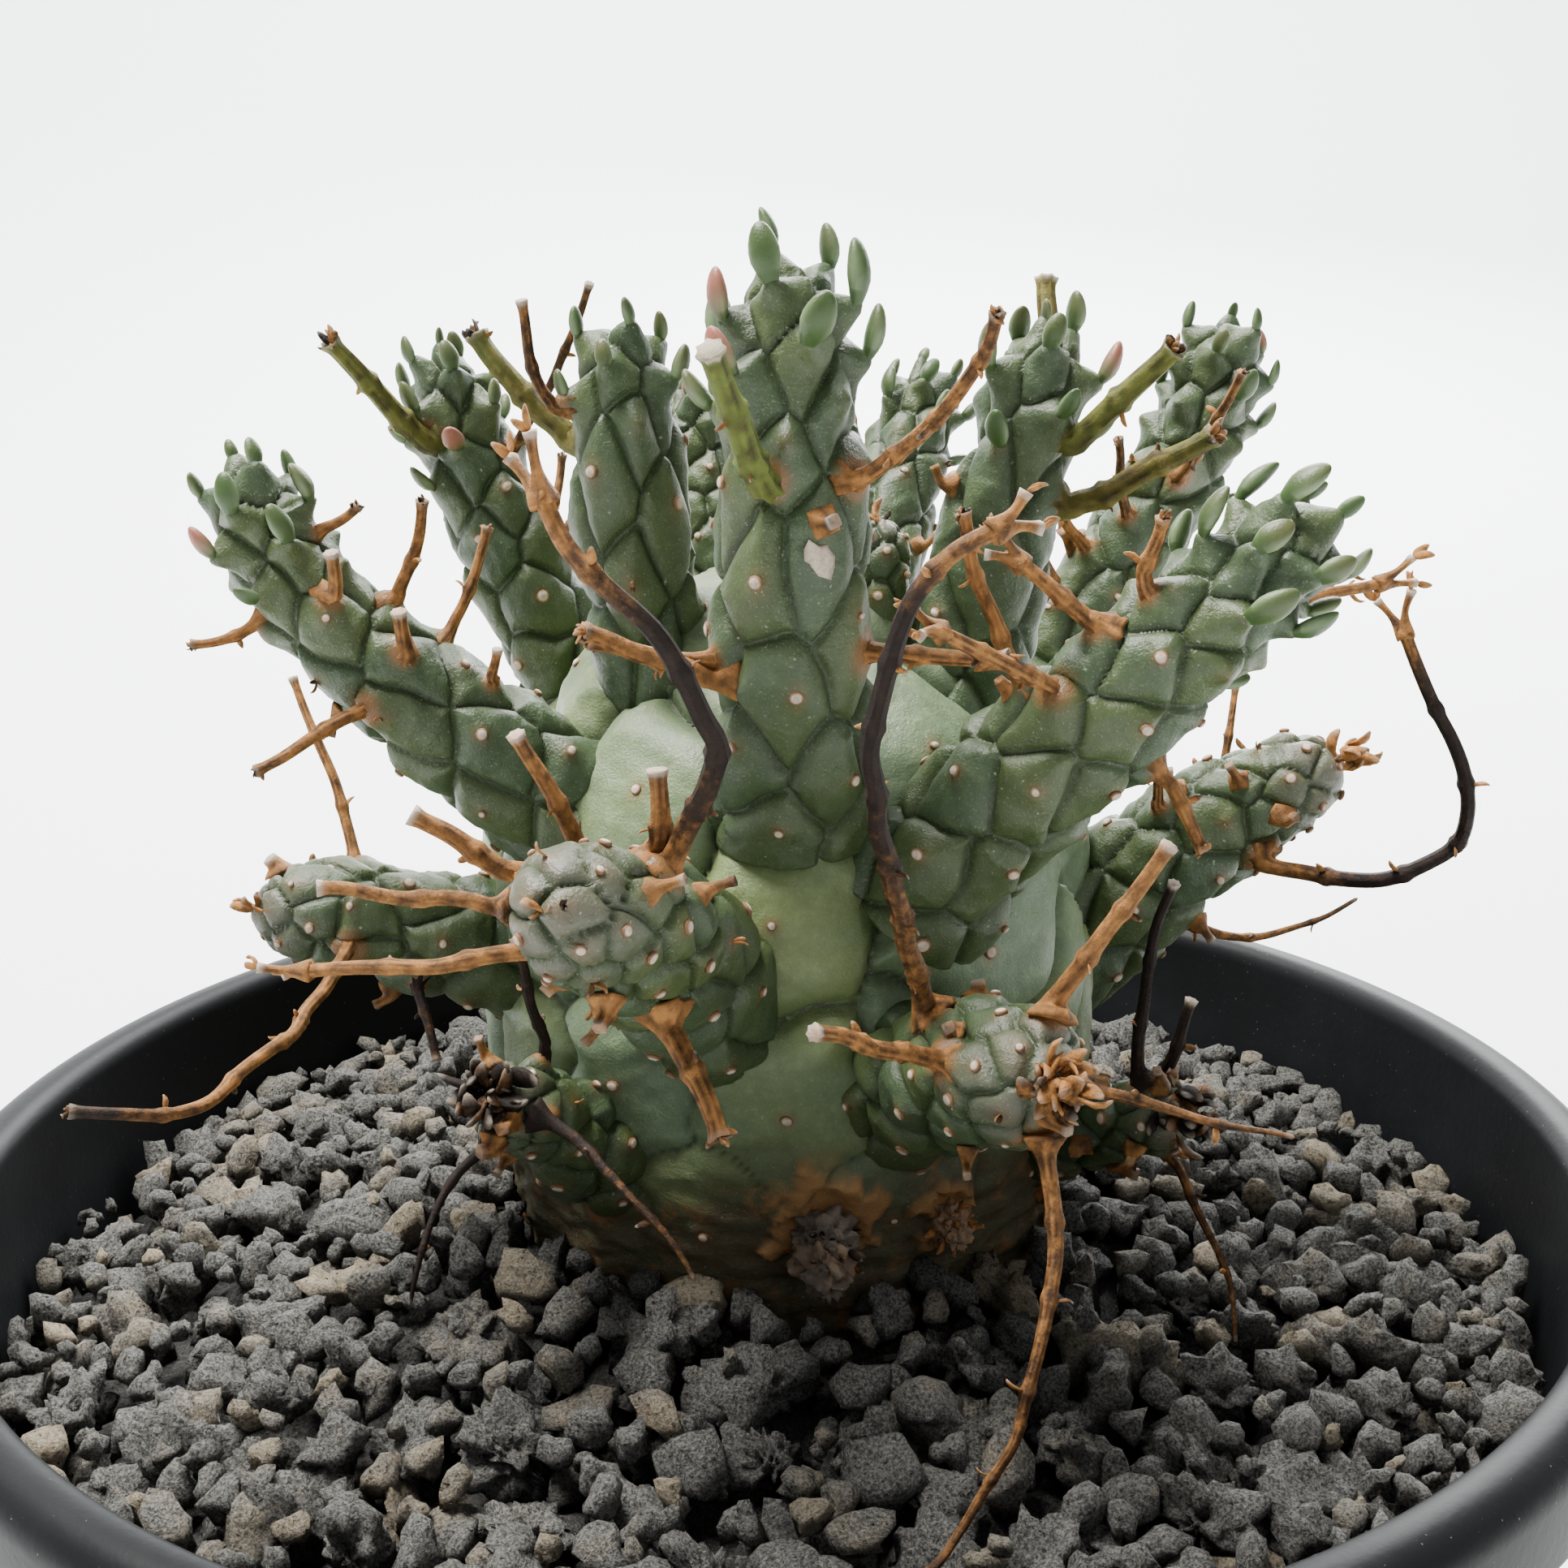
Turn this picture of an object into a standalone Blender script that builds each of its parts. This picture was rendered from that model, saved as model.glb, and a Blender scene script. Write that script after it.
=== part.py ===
"""A medusa-head euphorbia in a round nursery pot: a barrel-shaped caudex ringed by knobbly
arms, small leaves at the arm tips, dried flower stalks, and lava grit over the roots.
Metres, +Z up. The pot stands on z = 0 with its axis on the origin."""

import math
from collections import namedtuple

import bmesh
import bpy
from mathutils import Vector

MM = 0.001
GAP = 0.3  # mm left between neighbouring pieces

# Pot, mm
POT_HEIGHT = 90.0
RIM_DIAMETER = 120.0
MOUTH_DIAMETER = 112.0
BASE_DIAMETER = 86.0
WALL = 2.0
POT_FLOOR = 3.0
LIP_DEPTH = 7.0
DRAIN_DIAMETER = 4.0
DRAIN_CIRCLE = 44.0
DRAINS = 6

# Grit, mm
GRIT_AT_WALL = 9.5  # below the rim
GRIT_AT_STEM = 5.0  # below the rim
GRIT_START = 5.0  # above the pot floor's underside

# Caudex, mm: heights above the pot's rim, and radii as shares of its widest radius
CAUDEX_RADIUS = 21.7
CAUDEX_LEAN = 1.0  # its axis stands this far off the pot's, along +X
CAUDEX_PROFILE = (
    (-14, 0.81), (-6, 0.885), (2, 0.955), (10, 0.995), (17, 1.0),
    (24, 0.94), (30, 0.81), (35, 0.625), (39, 0.38), (41, 0.15),
)
CAUDEX_TOP = 41.6

ARM_SCALE = 1.0  # on every arm's girth
STALK_SCALE = 1.0  # on every stalk's girth

# An arm leaves the caudex at a heading (degrees, 0 = -Y, 90 = +X) and a height above the rim
# (mm). Its girth is given at the root, half way and near the tip. Its course is a list of
# (heading, climb) in degrees, spread evenly along it.
Arm = namedtuple("Arm", "name heading height length girth course leaves")
ARMS = (
    Arm("front", 0, 31, 30, (9.0, 8.6, 5.6), ((0, 60), (0, 80), (0, 90), (0, 90)), 5),
    Arm("left_of_centre", -55, 37, 20, (6.8, 7.0, 4.6), ((-30, 75), (-30, 85), (-30, 85)), 5),
    Arm("back_left", -120, 31, 26, (7.6, 7.0, 5.0), ((-90, 60), (-90, 70), (-90, 75)), 5),
    Arm("left", -57, 28, 28, (9.0, 7.2, 4.8), ((-70, 40), (-85, 40), (-90, 50), (-90, 75)), 6),
    Arm("low_left", -70, 16, 16, (8.4, 7.4, 5.6), ((-75, 30), (-80, 15), (-80, 5)), 0),
    Arm("front_left", -15, 18, 25, (9.4, 8.6, 6.4), ((-20, 35), (-15, 30), (-35, 20)), 0),
    Arm("foot_left", -38, 6, 13, (6.4, 5.8, 4.6), ((-35, 40), (-25, 30)), 0),
    Arm("right_front", 29, 25, 30, (9.4, 8.2, 5.6), ((50, 50), (70, 45), (80, 45), (90, 35)), 6),
    Arm("low_right", 90, 15, 21, (9.6, 8.6, 6.0), ((75, 40), (75, 40), (75, 25)), 0),
    Arm("back_right", 116, 28, 34, (8.4, 7.4, 5.4), ((110, 40), (105, 55), (100, 60), (90, 80)), 6),
    Arm("right_of_centre", 66, 35, 22, (7.4, 7.2, 4.8), ((50, 80), (60, 75), (65, 75)), 5),
    Arm("foot_right_front", 20, 11, 18, (8.4, 8.4, 6.6), ((20, 35), (20, 20), (20, 15)), 0),
    Arm("foot_right", 56, 4, 13, (6.0, 5.6, 4.6), ((35, 25), (35, 25)), 0),
    Arm("back_centre", 146, 36, 21, (6.8, 6.6, 4.6), ((160, 60), (150, 50), (150, 60)), 4),
    Arm("back_mid", -160, 36, 17, (6.4, 6.0, 4.4), ((-165, 70), (-165, 65), (-160, 70)), 4),
    Arm("back_high", -175, 24, 20, (7.2, 6.6, 5.0), ((-175, 30), (-175, 40), (-175, 55)), 4),
    Arm("back_low_left", -155, 12, 18, (8.0, 7.2, 5.6), ((-155, 20), (-160, 25), (-165, 40)), 4),
    Arm("back_low_right", 160, 10, 17, (8.0, 7.2, 5.6), ((160, 20), (165, 25), (170, 40)), 0),
    Arm("crown", 60, 39.5, 5, (4.6, 4.6, 3.6), ((40, 80), (40, 90)), 0),
)

# A stalk grows from an arm, part way along it (0 = root, 1 = tip), along its own course.
Stalk = namedtuple("Stalk", "name arm along length girth course")
STALKS = (
    Stalk("long_left", "front_left", 0.72, 24, 1.9,
          ((40, 55), (30, 55), (-50, 60), (-90, 45), (-120, 60))),
    Stalk("forked_left", "front_left", 0.72, 12, 1.5, ((-75, -5), (-95, -5), (-110, -5))),
    Stalk("curling_left", "low_left", 0.6, 27, 1.4, ((-5, -10), (-10, -5), (-25, -5), (-75, 20))),
    Stalk("upright_left", "low_left", 0.62, 13, 1.2, ((-150, 60), (-130, 60))),
    Stalk("hooked_left", "left", 0.46, 8, 1.4, ((-30, -5), (-60, -30), (-90, -20))),
    Stalk("outer_back_left", "back_left", 0.8, 10, 1.3, ((-50, 40), (-40, 45))),
    Stalk("straight_back_left", "back_left", 0.7, 14, 1.1, ((50, 45), (45, 60))),
    Stalk("green_front", "front", 0.62, 11, 1.4, ((-20, 30), (-20, 45), (-20, 45))),
    Stalk("red_front", "front", 0.62, 15, 1.5, ((50, 30), (40, 30), (20, 40), (5, 55))),
    Stalk("stub_front", "front", 0.3, 7, 1.8, ((62, 0), (62, 0))),
    Stalk("crossing_right", "right_front", 0.46, 11, 1.7, ((-50, 25), (-50, 25))),
    Stalk("outer_back_right", "back_right", 0.66, 10, 1.3, ((25, 45), (25, 55))),
    Stalk("long_right", "foot_right_front", 0.5, 35, 1.9,
          ((-20, 55), (-20, 50), (-20, 60), (40, 75), (120, 25))),
    Stalk("forked_right", "foot_right_front", 0.9, 11, 1.7, ((50, 55), (65, 60), (90, 60))),
    Stalk("side_right", "foot_right_front", 0.72, 11, 1.7, ((-50, 25), (-40, 25))),
    Stalk("drooping", "foot_right_front", 0.93, 28, 1.6,
          ((15, -60), (-20, -60), (-60, -65), (-60, -45), (-110, 10))),
    Stalk("upright_right", "foot_right", 0.85, 14, 1.3, ((-15, 70), (5, 75), (50, 75))),
    Stalk("looping_right", "low_right", 0.65, 29, 1.7,
          ((45, -5), (55, 5), (65, 40), (-70, 80), (-90, 60), (-90, 65))),
    Stalk("low_right", "low_right", 0.2, 16, 1.5, ((110, -25), (100, -5), (90, 40))),
    Stalk("outer_right", "right_front", 0.66, 12, 1.4, ((135, 15), (110, 5))),
)

# A loose lava stone: heading and distance from the pot's axis (mm), and its size (mm)
Stone = namedtuple("Stone", "name heading distance size")
STONES = (
    Stone("front", -25, 44, (11, 8, 6)),
    Stone("right", 65, 42, (9, 10, 6)),
    Stone("left", -80, 43, (9, 8, 7)),
    Stone("back", 170, 42, (12, 8, 6)),
)

ARM_SIDES = 12
STALK_SIDES = 6
LATHE_STEPS = 48


def finish(name, colour, roughness, coat=0.0):
    material = bpy.data.materials.new(name)
    material.use_nodes = True
    shader = material.node_tree.nodes["Principled BSDF"]
    shader.inputs["Base Color"].default_value = (*colour, 1)
    shader.inputs["Roughness"].default_value = roughness
    shader.inputs["Coat Weight"].default_value = coat
    return material


def piece(name, points, faces, material):
    """One closed body, from points in mm."""
    mesh = bpy.data.meshes.new(name)
    mesh.from_pydata([Vector(p) * MM for p in points], [], faces)
    shape = bmesh.new()
    shape.from_mesh(mesh)
    bmesh.ops.triangulate(shape, faces=shape.faces)
    bmesh.ops.recalc_face_normals(shape, faces=shape.faces)
    for face in shape.faces:
        face.smooth = True
    shape.to_mesh(mesh)
    shape.free()
    mesh.materials.append(material)
    found = bpy.data.objects.new(name, mesh)
    bpy.context.collection.objects.link(found)
    return found


def skin(rings, first=None, last=None):
    """Faces over rings of equal length. An end is closed to a single point where one is given;
    with neither, the last ring joins back to the first."""
    points, faces = [], []
    count = len(rings[0])
    for ring in rings:
        points += ring
    pairs = [(i, i + 1) for i in range(len(rings) - 1)]
    if first is None and last is None:
        pairs.append((len(rings) - 1, 0))
    for low, high in pairs:
        for i in range(count):
            j = (i + 1) % count
            faces.append((low * count + i, low * count + j, high * count + j, high * count + i))
    for point, ring in ((first, 0), (last, len(rings) - 1)):
        if point is not None:
            points.append(point)
            for i in range(count):
                faces.append((ring * count + i, ring * count + (i + 1) % count, len(points) - 1))
    return points, faces


def circle(radius, height, steps=LATHE_STEPS, shift=0.0):
    turns = [2 * math.pi * i / steps for i in range(steps)]
    return [Vector((shift + radius * math.cos(t), radius * math.sin(t), height)) for t in turns]


def bearing(heading, climb=0.0):
    """The unit vector of a heading from -Y toward +X, and a climb above level, in degrees."""
    h, c = math.radians(heading), math.radians(climb)
    return Vector((math.sin(h) * math.cos(c), -math.cos(h) * math.cos(c), math.sin(c)))


def between(values, t):
    """A list's value at t from 0 to 1, in straight lines."""
    place = min(max(t, 0.0), 1.0) * (len(values) - 1)
    i = min(int(place), len(values) - 2)
    return values[i] + (values[i + 1] - values[i]) * (place - i)


def run(start, course, length, steps):
    """The points of a line that leaves start and turns along its course."""
    headings, climbs = [c[0] for c in course], [c[1] for c in course]
    points = [Vector(start)]
    for i in range(steps):
        t = (i + 0.5) / steps
        points.append(points[-1] + bearing(between(headings, t), between(climbs, t)) * (length / steps))
    return points


def tangents(line):
    found = []
    for i in range(len(line)):
        found.append((line[min(i + 1, len(line) - 1)] - line[max(i - 1, 0)]).normalized())
    return found


def hoops(line, radii, sides):
    """Rings round a line that don't twist along it."""
    ways = tangents(line)
    side = ways[0].orthogonal().normalized()
    rings = []
    for point, way, radius in zip(line, ways, radii):
        side = (side - way * side.dot(way)).normalized()
        other = way.cross(side)
        rings.append([
            point + (side * math.cos(a) + other * math.sin(a)) * radius
            for a in (2 * math.pi * i / sides for i in range(sides))
        ])
    return rings


def caudex_outline():
    """(radius, height) from the caudex's foot to its top."""
    outline = [(CAUDEX_RADIUS * r, POT_HEIGHT + h) for h, r in CAUDEX_PROFILE]
    return outline + [(0.0, POT_HEIGHT + CAUDEX_TOP)]


def caudex_radius(height):
    outline = caudex_outline()
    for (r0, h0), (r1, h1) in zip(outline, outline[1:]):
        if height <= h1:
            return r0 + (r1 - r0) * max((height - h0) / (h1 - h0), 0.0)
    return 0.0


def outside_caudex(point, margin):
    """Whether a point clears the caudex by a margin, measured to its profile's segments."""
    out = math.hypot(point.x - CAUDEX_LEAN, point.y)
    ends = caudex_outline()
    if point.z < POT_HEIGHT + CAUDEX_TOP and out < caudex_radius(point.z):
        return False
    for (r0, h0), (r1, h1) in zip(ends, ends[1:]):
        along = Vector((r1 - r0, h1 - h0))
        t = min(max(Vector((out - r0, point.z - h0)).dot(along) / along.length_squared, 0.0), 1.0)
        if math.hypot(out - r0 - along.x * t, point.z - h0 - along.y * t) < margin:
            return False
    return True


def make_pot(material):
    lip, rim, mouth, foot = LIP_DEPTH, RIM_DIAMETER / 2, MOUTH_DIAMETER / 2, BASE_DIAMETER / 2
    top = POT_HEIGHT
    neck = mouth + WALL - 0.6  # outer radius just under the lip
    outer = [
        (foot - 1.5, 0.0), (foot, 1.2), (neck, top - lip - 0.6), (neck + 0.5, top - lip),
        (rim - 0.7, top - lip + 0.3), (rim, top - lip + 1.4), (rim, top - 2.2), (rim - 0.6, top - 0.8),
        (rim - 1.8, top), (mouth + 0.9, top), (mouth + 0.2, top - 0.6), (mouth, top - 1.8),
        (neck - WALL, top - lip - 1.0), (foot - WALL + 0.6, POT_FLOOR + 1.2), (foot - WALL - 1.0, POT_FLOOR),
    ]
    rings = [circle(r, z) for r, z in outer]
    pot = piece("pot", *skin(rings, Vector((0, 0, 0)), Vector((0, 0, POT_FLOOR))), material)
    for i in range(DRAINS):
        place = bearing(360 * i / DRAINS) * (DRAIN_CIRCLE / 2)
        tall = [circle(DRAIN_DIAMETER / 2, z, 12) for z in (-2.0, POT_FLOOR + 2.0)]
        ends = (Vector((0, 0, -2.0)), Vector((0, 0, POT_FLOOR + 2.0)))
        cutter = piece(f"drain_{i}", *skin(tall, *ends), material)
        for vertex in cutter.data.vertices:
            vertex.co += place * MM
        cutter.hide_render = True
        cutter.display_type = "WIRE"
        cut = pot.modifiers.new("drain", "BOOLEAN")
        cut.object = cutter
        cut.operation = "DIFFERENCE"
        cut.solver = "EXACT"
    return pot


def wall_inside(height):
    """The pot's inner radius at a height under its lip."""
    neck = MOUTH_DIAMETER / 2 - 0.6
    low, high = POT_FLOOR + 1.2, POT_HEIGHT - LIP_DEPTH - 1.0
    foot = BASE_DIAMETER / 2 - WALL + 0.6
    return foot + (neck - foot) * min(max((height - low) / (high - low), 0.0), 1.0)


def grit_height(distance):
    """The grit's top, a shallow mound that falls from the stem to the wall."""
    stem, wall = CAUDEX_RADIUS * 0.9, MOUTH_DIAMETER / 2
    t = min(max((distance - stem) / (wall - stem), 0.0), 1.0)
    drop = GRIT_AT_STEM + (GRIT_AT_WALL - GRIT_AT_STEM) * t * t * (3 - 2 * t)
    return POT_HEIGHT - drop


def make_grit(material):
    steps = 6
    buried = caudex_outline()[0][1]
    stem_top = grit_height(0)
    rings = [
        circle(wall_inside(GRIT_START) - GAP - 1.0, GRIT_START),
        circle(wall_inside(GRIT_START + 1.2) - GAP, GRIT_START + 1.2),
    ]
    edge = wall_inside(POT_HEIGHT - GRIT_AT_WALL) - GAP
    rings.append(circle(edge, grit_height(edge) - 0.6))
    pocket = caudex_radius(stem_top) + GAP
    for i in range(steps + 1):
        t = i / steps
        radius = edge - 0.4 + (pocket - edge + 0.4) * t
        rings.append(circle(radius, grit_height(radius), shift=CAUDEX_LEAN * t))
    for height in (POT_HEIGHT - 6, POT_HEIGHT - 10, buried):
        rings.append(circle(caudex_radius(height) + GAP, height, shift=CAUDEX_LEAN))
    rings.append(circle(caudex_radius(buried) + GAP, buried - GAP, shift=CAUDEX_LEAN))
    return piece(
        "lava_grit",
        *skin(rings, Vector((0, 0, GRIT_START)), Vector((CAUDEX_LEAN, 0, buried - GAP))),
        material,
    )


def make_caudex(material):
    outline = caudex_outline()
    rings = [circle(r, h, 40, CAUDEX_LEAN) for r, h in outline[:-1]]
    ends = [Vector((CAUDEX_LEAN, 0, outline[i][1])) for i in (0, -1)]
    return piece("caudex", *skin(rings, *ends), material)


def arm_radius(arm, t):
    """The arm's radius along it, before its tip rounds off."""
    return between(arm.girth, t) / 2 * ARM_SCALE


def arm_line(arm, steps):
    height = POT_HEIGHT + arm.height
    root = bearing(arm.heading) * caudex_radius(height) + Vector((CAUDEX_LEAN, 0, height))
    return run(root, arm.course, arm.length, steps)


def make_arm(arm, material):
    """A round arm whose root follows the caudex, a gap away from it, and whose tip is domed."""
    steps = max(5, round(arm.length / 3))
    line = arm_line(arm, steps)
    dome = arm_radius(arm, 1.0)
    way = (line[-1] - line[-2]).normalized()
    body = [p for i, p in enumerate(line) if i > 0 and i < steps]
    radii = [arm_radius(arm, i / steps) for i in range(1, steps)]
    tip = line[-1]
    reach = (tip - body[-1]).length
    for share, shrink in ((0.45, 0.9), (0.8, 0.62)):
        body.append(body[-1].lerp(tip, share) if share < 0.5 else tip - way * reach * 0.2)
        radii.append(dome * shrink)
    rings = hoops(body, radii, ARM_SIDES)
    back = (body[1] - body[0]).normalized()
    root = []
    for point in rings[0]:
        place = Vector(point)
        travelled = 0.0
        while outside_caudex(place - back * 0.05, GAP) and travelled < arm.length / steps + 3.0:
            place -= back * 0.05
            travelled += 0.05
        root.append(place)
    # Points that would sit inside the caudex are pushed out along the arm
    for ring in [root] + rings[:2]:
        for i, point in enumerate(ring):
            while not outside_caudex(point, GAP):
                point = point + back * 0.05
            ring[i] = point
    middle = sum(root, Vector()) / len(root)
    while not outside_caudex(middle, GAP):
        middle += back * 0.05
    clear = min((a - b).length for a, b in zip(root, rings[0]))
    loops = [root] + (rings if clear > 0.4 else rings[1:])
    return piece(f"arm_{arm.name}", *skin(loops, middle, tip), material)


def make_leaves(arm, material):
    """The small leaves round an arm's tip, joined at their bases."""
    line = arm_line(arm, 12)
    axis = (line[-1] - line[-2]).normalized()
    core, reach = 0.9, 3.6
    side = axis.orthogonal().normalized()
    other = axis.cross(side)
    centre = line[-1] + axis * (core + GAP + 0.1)
    around, tall = arm.leaves * 4, 7
    rings = []
    for j in range(1, tall):
        polar = math.pi * (1 - j / tall)
        ring = []
        for i in range(around):
            turn = 2 * math.pi * i / around
            lobe = max(0.0, math.cos(arm.leaves * turn)) ** 2
            out = core + (reach - core) * lobe * math.exp(-((polar - 0.85) / 0.45) ** 2)
            level = side * math.cos(turn) + other * math.sin(turn)
            ring.append(centre + (level * math.sin(polar) + axis * math.cos(polar)) * out)
        rings.append(ring)
    ends = (centre - axis * core, centre + axis * core)
    return piece(f"leaves_{arm.name}", *skin(rings, *ends), material)


def make_stalk(stalk, material):
    """A dried flower stalk, its foot a gap away from its arm and its end blunt."""
    arm = next(a for a in ARMS if a.name == stalk.arm)
    fine = 40
    line = arm_line(arm, fine)
    ways = tangents(line)
    i = round(stalk.along * fine)
    first = bearing(*stalk.course[0])
    out = (first - ways[i] * first.dot(ways[i])).normalized()
    radius = stalk.girth / 2 * STALK_SCALE
    lean = math.sqrt(max(0.0, 1 - out.dot(first) ** 2))
    start = line[i] + out * (arm_radius(arm, stalk.along) + GAP + 0.15 + radius * lean)
    steps = max(4, round(stalk.length / 2.6))
    path = run(start, stalk.course, stalk.length, steps)
    radii = [radius * (1.0 - 0.3 * k / steps) for k in range(steps + 1)]
    rings = hoops(path, radii, STALK_SIDES)
    return piece(f"stalk_{stalk.name}", *skin(rings, path[0], path[-1]), material)


def make_stone(stone, material):
    """A rough lump: a coarse ball whose corners sit at uneven distances."""
    turns, tall = 9, 6
    place = bearing(stone.heading) * stone.distance
    slope = max(stone.size[:2]) / 2
    ground = max(grit_height(stone.distance - slope), grit_height(stone.distance + slope))
    middle = place + Vector((0, 0, ground + GAP + stone.size[2] / 2))
    half = Vector(stone.size) / 2
    rings = []
    for j in range(1, tall):
        polar = math.pi * (1 - j / tall)
        ring = []
        for i in range(turns):
            turn = 2 * math.pi * i / turns + stone.heading
            rough = 0.9 + 0.1 * math.sin(3 * turn + 2 * j + stone.distance)
            ring.append(middle + Vector((
                half.x * math.sin(polar) * math.cos(turn) * rough,
                half.y * math.sin(polar) * math.sin(turn) * rough,
                half.z * math.cos(polar) * (1.0 if polar > 2 else rough),
            )))
        rings.append(ring)
    lift = Vector((0, 0, half.z))
    return piece(f"stone_{stone.name}", *skin(rings, middle - lift, middle + lift), material)


def main():
    for old in list(bpy.data.objects):
        bpy.data.objects.remove(old, do_unlink=True)
    plastic = finish("black plastic", (0.018, 0.019, 0.021), 0.42)
    lava = finish("lava grit", (0.075, 0.07, 0.062), 0.95)
    skin_green = finish("succulent skin", (0.115, 0.2, 0.13), 0.55)
    leaf_green = finish("leaf", (0.1, 0.24, 0.1), 0.5)
    straw = finish("dried stalk", (0.3, 0.13, 0.045), 0.75)
    make_pot(plastic)
    make_grit(lava)
    make_caudex(skin_green)
    for arm in ARMS:
        make_arm(arm, skin_green)
        if arm.leaves:
            make_leaves(arm, leaf_green)
    for stalk in STALKS:
        make_stalk(stalk, straw)
    for stone in STONES:
        make_stone(stone, lava)


main()
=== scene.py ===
"""Potted medusa-head euphorbia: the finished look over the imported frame.

The frame's pot, grit, stem, arms, leaves and stalks are each rebuilt at full detail where they
stand: a stem of bulging cells, arms of spiral tubercles with leaf scars, fleshy tip leaves,
ribbed dried stalks and a bed of rough lava grains. Lengths are in millimetres until a piece is
built. Headings are degrees from -Y toward +X, and climbs are degrees above level."""

import math
from collections import namedtuple

import bmesh
import bpy
import numpy as np
from bpy.props import FloatProperty, FloatVectorProperty, IntProperty, PointerProperty
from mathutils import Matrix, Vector
from mathutils.bvhtree import BVHTree


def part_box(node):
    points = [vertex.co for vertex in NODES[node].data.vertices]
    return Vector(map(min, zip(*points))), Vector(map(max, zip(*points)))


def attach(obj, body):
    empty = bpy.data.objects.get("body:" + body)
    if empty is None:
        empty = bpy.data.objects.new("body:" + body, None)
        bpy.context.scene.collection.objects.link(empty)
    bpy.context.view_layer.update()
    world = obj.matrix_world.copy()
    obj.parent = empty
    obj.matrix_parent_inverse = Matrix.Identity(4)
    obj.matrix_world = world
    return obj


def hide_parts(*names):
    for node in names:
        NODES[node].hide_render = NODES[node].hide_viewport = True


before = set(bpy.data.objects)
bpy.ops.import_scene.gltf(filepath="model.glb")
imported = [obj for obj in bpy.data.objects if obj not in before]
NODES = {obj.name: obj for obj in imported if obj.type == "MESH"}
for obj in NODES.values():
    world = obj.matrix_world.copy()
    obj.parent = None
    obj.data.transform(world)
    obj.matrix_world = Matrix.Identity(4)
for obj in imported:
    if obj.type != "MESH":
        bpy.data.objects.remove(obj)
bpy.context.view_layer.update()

bl_info = {
    "name": "Potted Euphorbia",
    "version": (1, 0, 0),
    "blender": (4, 5, 0),
    "location": "View3D > Sidebar > Euphorbia",
    "description": "Builds a potted medusa-head euphorbia over its packed frame",
    "category": "Object",
}

MM = 0.001
GOLDEN = math.radians(137.508)
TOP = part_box("pot")[1][2] / MM  # the rim's height
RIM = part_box("pot")[1][0] / MM  # the rim's outer radius
STEM_X = (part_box("caudex")[0][0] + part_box("caudex")[1][0]) / 2 / MM  # the stem's axis
POLE_LINKS = 12  # the neighbours of an arm's end point
SAME_PLANE = 0.9999  # the least dot product of two normals on one flat end
ROUND_WITHIN = 0.02  # how unevenly far a flat end's corners may stand from its middle
BASE_BAND = 1.6  # everything lower than this is the pot's base
WALL_GAP = 4.9  # from the pot's rim to the bed of grains, in mm
LEAF_FROM = 0.66  # the share of an arm below which it bears no leaf


def corners_of(node):
    """A node's vertices in mm."""
    return np.array([v.co[:] for v in NODES[node].data.vertices]) / MM


def base_radius():
    points = corners_of("pot")
    return np.hypot(points[:, 0], points[:, 1])[points[:, 2] < BASE_BAND].max()


FOOT = base_radius()


# Sizes and colours a user would change


def colour(name, default, description):
    return FloatVectorProperty(
        name=name, description=description, subtype="COLOR", size=3, min=0, max=1, default=default
    )


class EuphorbiaPlant(bpy.types.PropertyGroup):
    skin: colour("Skin", (0.06, 0.086, 0.032), "Grey-green of the arms")
    stem: colour("Stem", (0.17, 0.215, 0.1), "Paler green of the stem")
    # The crease colour is painted shade, laid in the creases between cells and in a wider band round each
    # cell
    crease_shade: colour("Grooves", (0.022, 0.04, 0.008), "Dark green down in the creases")
    bark: colour("Bark", (0.105, 0.07, 0.03), "Corky brown at the stem's foot")
    leaf: colour("Leaves", (0.034, 0.075, 0.016), "Green of the leaves at the arm tips")
    relief: FloatProperty(
        name="Tubercle relief", description="How far a tubercle stands up, as a share of its width",
        default=0.135, min=0.02, max=0.4,
    )
    pitch: FloatProperty(
        name="Tubercle width", description="Width of the tubercles at an arm's root, in mm",
        default=5.5, min=2.5, max=8,
    )


class EuphorbiaStalks(bpy.types.PropertyGroup):
    straw: colour("Straw", (0.48, 0.215, 0.062), "Orange-brown of a dry stalk")
    dark: colour("Dark", (0.008, 0.004, 0.0025), "Blackish brown of an old stalk")
    green: colour("Green", (0.22, 0.25, 0.045), "Yellow-green of a live stalk")
    seed: IntProperty(name="Seed", description="Draw for the small stubs", default=11, min=0)


class EuphorbiaGrit(bpy.types.PropertyGroup):
    dark: colour("Dark grains", (0.145, 0.142, 0.132), "Dark grey of most of the lava")
    warm: colour("Warm grains", (0.3, 0.255, 0.185), "Tan of the weathered lava")
    grains: IntProperty(
        name="Grains", description="How many grains are dropped; one with no room is left out",
        default=2600, min=100, max=3000,
    )
    seed: IntProperty(name="Seed", description="Draw for the grains", default=4, min=0)


class EuphorbiaPot(bpy.types.PropertyGroup):
    plastic: colour("Plastic", (0.008, 0.0085, 0.0095), "Black of the pot")
    lip: FloatProperty(name="Lip", description="Height of the rounded lip", default=0.007,
                       min=0.003, max=0.02, subtype="DISTANCE", unit="LENGTH")


# Shader arithmetic


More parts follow.
